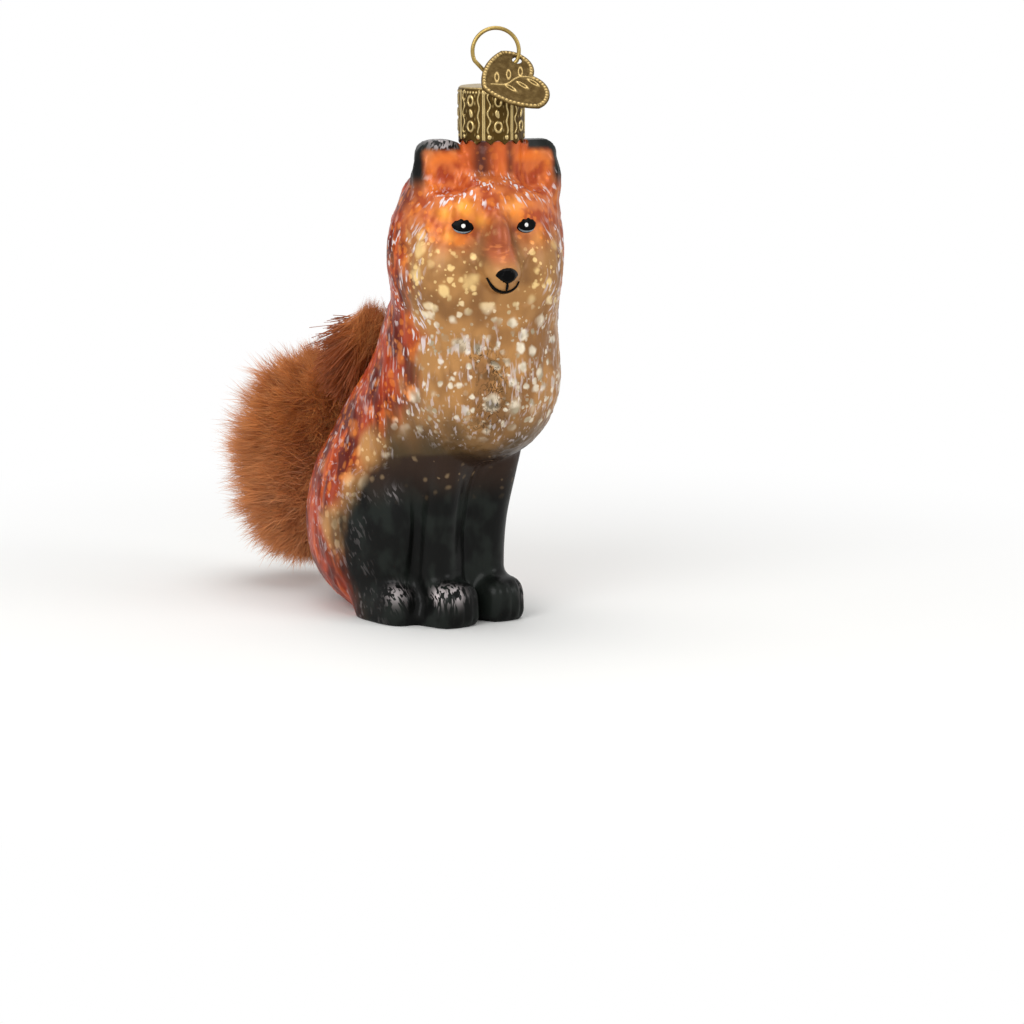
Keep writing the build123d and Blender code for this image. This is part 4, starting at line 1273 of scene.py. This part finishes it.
def build_fur(settings):
    """The tail: a dense core, and hairs in several bands from the lower end to the tip."""
    material = fur_material(settings)
    points, faces = surface_of(core_distance, *CORE_BOX, CORE_STEP)
    core = make_mesh("tail_fur_core", points, faces, material, "glass")
    set_attribute(core.data, "along", np.full(len(points), 0.25))
    set_attribute(core.data, "tint", np.full(len(points), 0.5))
    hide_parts("tail_fur")
    roots, ends, tints = fur_roots(settings.tufts, settings.hairs_each)
    chance = np.random.default_rng(BOW_SEED)
    hair = bpy.data.objects.new("hair", strand_mesh())
    tree = hair_tree()
    sockets = {s.name: s.identifier for s in tree.interface.items_tree if s.in_out == "INPUT"}
    order = np.argsort(roots[:, 2] - 0.35 * roots[:, 1])
    for number, chosen in enumerate(np.array_split(order, FUR_BANDS)):
        mesh = bpy.data.meshes.new("fur_roots")
        mesh.from_pydata((roots[chosen] * MM).tolist(), [], [])
        run = ends[chosen] - roots[chosen]
        reach = np.linalg.norm(run, axis=1)
        set_attribute(mesh, "aim", run / reach[:, None], "FLOAT_VECTOR")
        set_attribute(mesh, "bow", chance.normal(size=run.shape), "FLOAT_VECTOR")
        set_attribute(mesh, "reach", reach * MM)
        set_attribute(mesh, "spread", chance.uniform(7, 10, len(run)) * MM)
        set_attribute(mesh, "tint", tints[chosen])
        piece = bpy.data.objects.new(f"tail_hairs_{number + 1}", mesh)
        bpy.context.scene.collection.objects.link(piece)
        modifier = piece.modifiers.new("hairs", "NODES")
        modifier.node_group = tree
        for name, value in (("Hair", hair), ("Wave", settings.wave), ("Fur", material)):
            modifier[sockets[name]] = value
        bpy.context.view_layer.update()
        grown = bpy.data.meshes.new_from_object(piece.evaluated_get(bpy.context.evaluated_depsgraph_get()))
        piece.modifiers.remove(modifier)
        piece.data = grown
        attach(piece, "glass")


# The lamps' places in metres and their sizes, and where the floor turns into the white surround.
LAMPS = (
    ("left", (-0.55, -0.25, 0.35), 0.4), ("right", (0.3, -0.6, 0.3), 0.3), ("top", (0.0, 0.05, 0.7), 0.5)
)
FLOOR_HALF, FLOOR_FADE, LAMP_AIM = 3, (0.06, 0.2), Vector((0, 0, 0.05))
# The camera: where it stands, its lens, and the pixel that its target in millimetres is seen at.
CAMERA_AZIMUTH, CAMERA_PITCH, LENS, SENSOR = math.radians(-38), math.radians(10), 150, 36
VIEW_PIXELS, PIXEL, TARGET, TARGET_PIXEL = 1024, 0.198 * MM, (0, -16, 54), (491.5, 358.6)


def build_stage(settings):
    """A pale floor under the fox, soft lamps and a white surround."""
    scene = bpy.context.scene
    scene.view_settings.view_transform = "Standard"
    look = Look("pale_floor")
    look.colour = settings.floor
    place = look.add("ShaderNodeTexCoord", (), "Object")
    away = look.add("ShaderNodeVectorMath", [(0, place)], "Value", operation="LENGTH")
    path = look.node("ShaderNodeLightPath").outputs
    seen = look.most(path["Is Camera Ray"], path["Is Glossy Ray"])
    white = look.add("ShaderNodeEmission", [("Color", (1, 1, 1, 1)), ("Strength", 1.0)])
    mixed = (look.times(look.remap(away, *FLOOR_FADE), seen), look.shader.outputs[0], white)
    mixed = look.add("ShaderNodeMixShader", enumerate(mixed))
    look.set(look.tree.nodes["Material Output"], Surface=mixed)
    mesh = bpy.data.meshes.new("floor")
    corners = [(x * FLOOR_HALF, y * FLOOR_HALF, 0) for x, y in ((-1, -1), (1, -1), (1, 1), (-1, 1))]
    mesh.from_pydata(corners, [], [(0, 1, 2, 3)])
    mesh.materials.append(look.done(Roughness=0.9, Specular_IOR_Level=0.1))
    floor = bpy.data.objects.new("floor", mesh)
    scene.collection.objects.link(floor)

    world = bpy.data.worlds.new("white_surround")
    world.use_nodes = True
    scene.world = world
    sky = Nodes(world.node_tree)
    path = sky.node("ShaderNodeLightPath").outputs
    seen = sky.most(path["Is Camera Ray"], path["Is Glossy Ray"])
    seen = sky.most(seen, path["Is Transmission Ray"])
    sky.set(sky.tree.nodes["Background"], Color=(1, 1, 1, 1), Strength=sky.remap(seen, 0.0, 1.0, 0.5, 1.0))

    for name, place, size in LAMPS:
        lamp = bpy.data.lights.new(f"{name}_softbox", "AREA")
        lamp.energy, lamp.size = getattr(settings, f"{name}_power"), size
        holder = bpy.data.objects.new(f"{name}_softbox", lamp)
        holder.location = place
        holder.rotation_euler = (LAMP_AIM - Vector(place)).to_track_quat("-Z", "Y").to_euler()
        scene.collection.objects.link(holder)


def build_camera():
    """A long lens from the fox's right front, a little above it."""
    level, rise = math.cos(CAMERA_PITCH), math.sin(CAMERA_PITCH)
    back = Vector((math.sin(CAMERA_AZIMUTH) * level, -math.cos(CAMERA_AZIMUTH) * level, rise))
    camera = bpy.data.cameras.new("camera")
    camera.lens, camera.sensor_width = LENS, SENSOR
    camera.clip_start, camera.clip_end = 0.05, 20
    holder = bpy.data.objects.new("camera", camera)
    bpy.context.scene.collection.objects.link(holder)
    right = (-back).cross(Vector((0, 0, 1))).normalized()
    up = right.cross(-back)
    middle = VIEW_PIXELS / 2
    shift = right * (TARGET_PIXEL[0] - middle) * PIXEL + up * (middle - TARGET_PIXEL[1]) * PIXEL
    holder.location = Vector(TARGET) * MM + back * PIXEL * (LENS / SENSOR * VIEW_PIXELS) - shift
    holder.rotation_mode = "QUATERNION"
    holder.rotation_quaternion = Matrix((right, up, back)).transposed().to_quaternion()
    bpy.context.scene.camera = holder


def colour_setting(name, description, hex_colour):
    """A colour that the user can change."""
    return FloatVectorProperty(
        name=name, description=description, subtype="COLOR", size=4, min=0, max=1, default=linear(hex_colour)
    )


def length_setting(name, description, millimetres, low, high):
    """A length that the user can change, kept in metres."""
    values = {"min": low * MM, "max": high * MM, "default": millimetres * MM, "precision": 5}
    return FloatProperty(name=name, description=description, unit="LENGTH", subtype="DISTANCE", **values)


def count_setting(name, description, count, low, high):
    """A whole number that the user can change."""
    return IntProperty(name=name, description=description, default=count, min=low, max=high)


class FoxGlassSettings(bpy.types.PropertyGroup):
    """The blown glass and its lacquers."""

    mesh_step: length_setting("Mesh step", "Distance between the points of the glass's skin", 0.45, 0.3, 2.0)
    relief: FloatProperty(
        name="Relief",
        description="How deep the moulded coat is, 1 as in the photograph",
        default=1.0,
        min=0.0,
        max=2.0,
    )
    ochre: colour_setting("Ochre", "Lacquer of the face and bib", "b07f4a")
    rust: colour_setting("Rust", "Lacquer of the back", "a5350a")
    ear_bowl: colour_setting("Ear bowls", "Lacquer inside the ears", "ec7a28")
    black: colour_setting("Black", "Lacquer of the legs and the ears' rims", "0b0c0b")


class FoxFaceSettings(bpy.types.PropertyGroup):
    """The enamel of the face."""

    black: colour_setting("Black enamel", "The eyes, the nose and the mouth", "060606")
    white: colour_setting("White enamel", "The glints in the eyes", "f4f4f2")


class FoxMetalSettings(bpy.types.PropertyGroup):
    """The cap, the wire and the tag."""

    cap_step: length_setting("Cap mesh step", "Distance between the points of the cap's mesh", 0.12, 0.1, 0.5)
    tag_step: length_setting("Tag mesh step", "Distance between the points of the tag's mesh", 0.12, 0.1, 0.5)
    wire_sides: count_setting("Wire sides", "Sides of the wire's round section", 14, 6, 32)
    cap_pale: colour_setting("Cap, raised", "Brass of the cap where it is rubbed", "bfa873")
    cap_deep: colour_setting("Cap, hollows", "Patina in the cap's hollows", "4f3c1c")
    wire_colour: colour_setting("Wire", "Brass of the wire", "b39a5c")
    tag_pale: colour_setting("Tag, raised", "Brass of the tag where it is rubbed", "b59b66")
    tag_deep: colour_setting("Tag, hollows", "Patina in the tag's hollows", "4f3d1f")


class FoxTailSettings(bpy.types.PropertyGroup):
    """The fur tail and what holds it."""

    tufts: count_setting("Tufts", "How many tufts the hairs stand in", 2000, 200, 6000)
    hairs_each: count_setting("Hairs each", "Hairs in a tuft", 30, 5, 60)
    wave: length_setting("Wave", "How far a hair's tip wanders", 1.6, 0.0, 4.0)
    fur: colour_setting("Fur", "The hairs' middle", "cf8042")
    fur_tips: colour_setting("Fur tips", "The hairs' tips", "e8ac74")
    leather: colour_setting("Leather", "The strip that the fur grows on", "b08c68")


def power_setting(name, description, power):
    """A lamp's power that the user can change."""
    return FloatProperty(name=name, description=description, default=power, min=0, unit="POWER")


class FoxStageSettings(bpy.types.PropertyGroup):
    """The floor and the lamps."""

    floor: colour_setting("Floor", "The floor under the fox", "f2f2f0")
    left_power: power_setting("Left lamp", "Power of the left softbox", 2.2)
    right_power: power_setting("Right lamp", "Power of the right softbox", 1.2)
    top_power: power_setting("Top lamp", "Power of the top softbox", 2.0)


class FOX_OT_glass(bpy.types.Operator):
    """Build the painted glass body"""

    bl_idname = "fox.glass"
    bl_label = "Glass body"

    def execute(self, context):
        build_glass(context.scene.fox_glass)
        return {"FINISHED"}


class FOX_OT_face(bpy.types.Operator):
    """Paint the eyes, the nose and the mouth on the glass body"""

    bl_idname = "fox.face"
    bl_label = "Face"

    def execute(self, context):
        build_face(context.scene.fox_face)
        return {"FINISHED"}


class FOX_OT_cap(bpy.types.Operator):
    """Build the stamped brass cap"""

    bl_idname = "fox.cap"
    bl_label = "Cap"

    def execute(self, context):
        build_cap(context.scene.fox_metal)
        return {"FINISHED"}


class FOX_OT_hanger(bpy.types.Operator):
    """Build the wire hanger"""

    bl_idname = "fox.hanger"
    bl_label = "Wire hanger"

    def execute(self, context):
        build_hanger(context.scene.fox_metal)
        return {"FINISHED"}


class FOX_OT_tag(bpy.types.Operator):
    """Build the heart-shaped tag"""

    bl_idname = "fox.tag"
    bl_label = "Heart tag"

    def execute(self, context):
        build_tag(context.scene.fox_metal)
        return {"FINISHED"}


class FOX_OT_tail_mount(bpy.types.Operator):
    """Build the leather strip and its glue"""

    bl_idname = "fox.tail_mount"
    bl_label = "Tail strip and glue"

    def execute(self, context):
        build_tail_mount(context.scene.fox_tail)
        return {"FINISHED"}


class FOX_OT_tail(bpy.types.Operator):
    """Grow the fur of the tail"""

    bl_idname = "fox.tail"
    bl_label = "Fur tail"

    def execute(self, context):
        build_fur(context.scene.fox_tail)
        return {"FINISHED"}


class FOX_OT_stage(bpy.types.Operator):
    """Set up the floor, the lamps and the camera"""

    bl_idname = "fox.stage"
    bl_label = "Stage"

    def execute(self, context):
        build_stage(context.scene.fox_stage)
        build_camera()
        return {"FINISHED"}


SETTINGS = {
    "fox_glass": FoxGlassSettings,
    "fox_face": FoxFaceSettings,
    "fox_metal": FoxMetalSettings,
    "fox_tail": FoxTailSettings,
    "fox_stage": FoxStageSettings,
}
OPERATORS = (
    FOX_OT_glass, FOX_OT_face, FOX_OT_cap, FOX_OT_hanger, FOX_OT_tag,
    FOX_OT_tail_mount, FOX_OT_tail, FOX_OT_stage,
)


class FOX_PT_panel(bpy.types.Panel):
    """The fox's sizes, colours and pieces"""

    bl_idname = "FOX_PT_panel"
    bl_label = "Glass Fox"
    bl_space_type = "VIEW_3D"
    bl_region_type = "UI"
    bl_category = "Glass Fox"

    def draw(self, context):
        for name, settings in SETTINGS.items():
            box = self.layout.box()
            box.label(text=name.replace("_", " ").capitalize())
            for setting in settings.__annotations__:
                box.prop(getattr(context.scene, name), setting)
        for operator in OPERATORS:
            self.layout.operator(operator.bl_idname)


def register():
    for name, settings in SETTINGS.items():
        bpy.utils.register_class(settings)
        setattr(bpy.types.Scene, name, PointerProperty(type=settings))
    for shown in OPERATORS + (FOX_PT_panel,):
        bpy.utils.register_class(shown)


def unregister():
    for shown in reversed(OPERATORS + (FOX_PT_panel,)):
        bpy.utils.unregister_class(shown)
    for name, settings in reversed(SETTINGS.items()):
        delattr(bpy.types.Scene, name)
        bpy.utils.unregister_class(settings)


def main():
    register()
    bpy.ops.fox.glass()
    bpy.ops.fox.face()
    bpy.ops.fox.cap()
    bpy.ops.fox.hanger()
    bpy.ops.fox.tag()
    bpy.ops.fox.tail_mount()
    bpy.ops.fox.tail()
    bpy.ops.fox.stage()


if __name__ == "__main__":
    main()
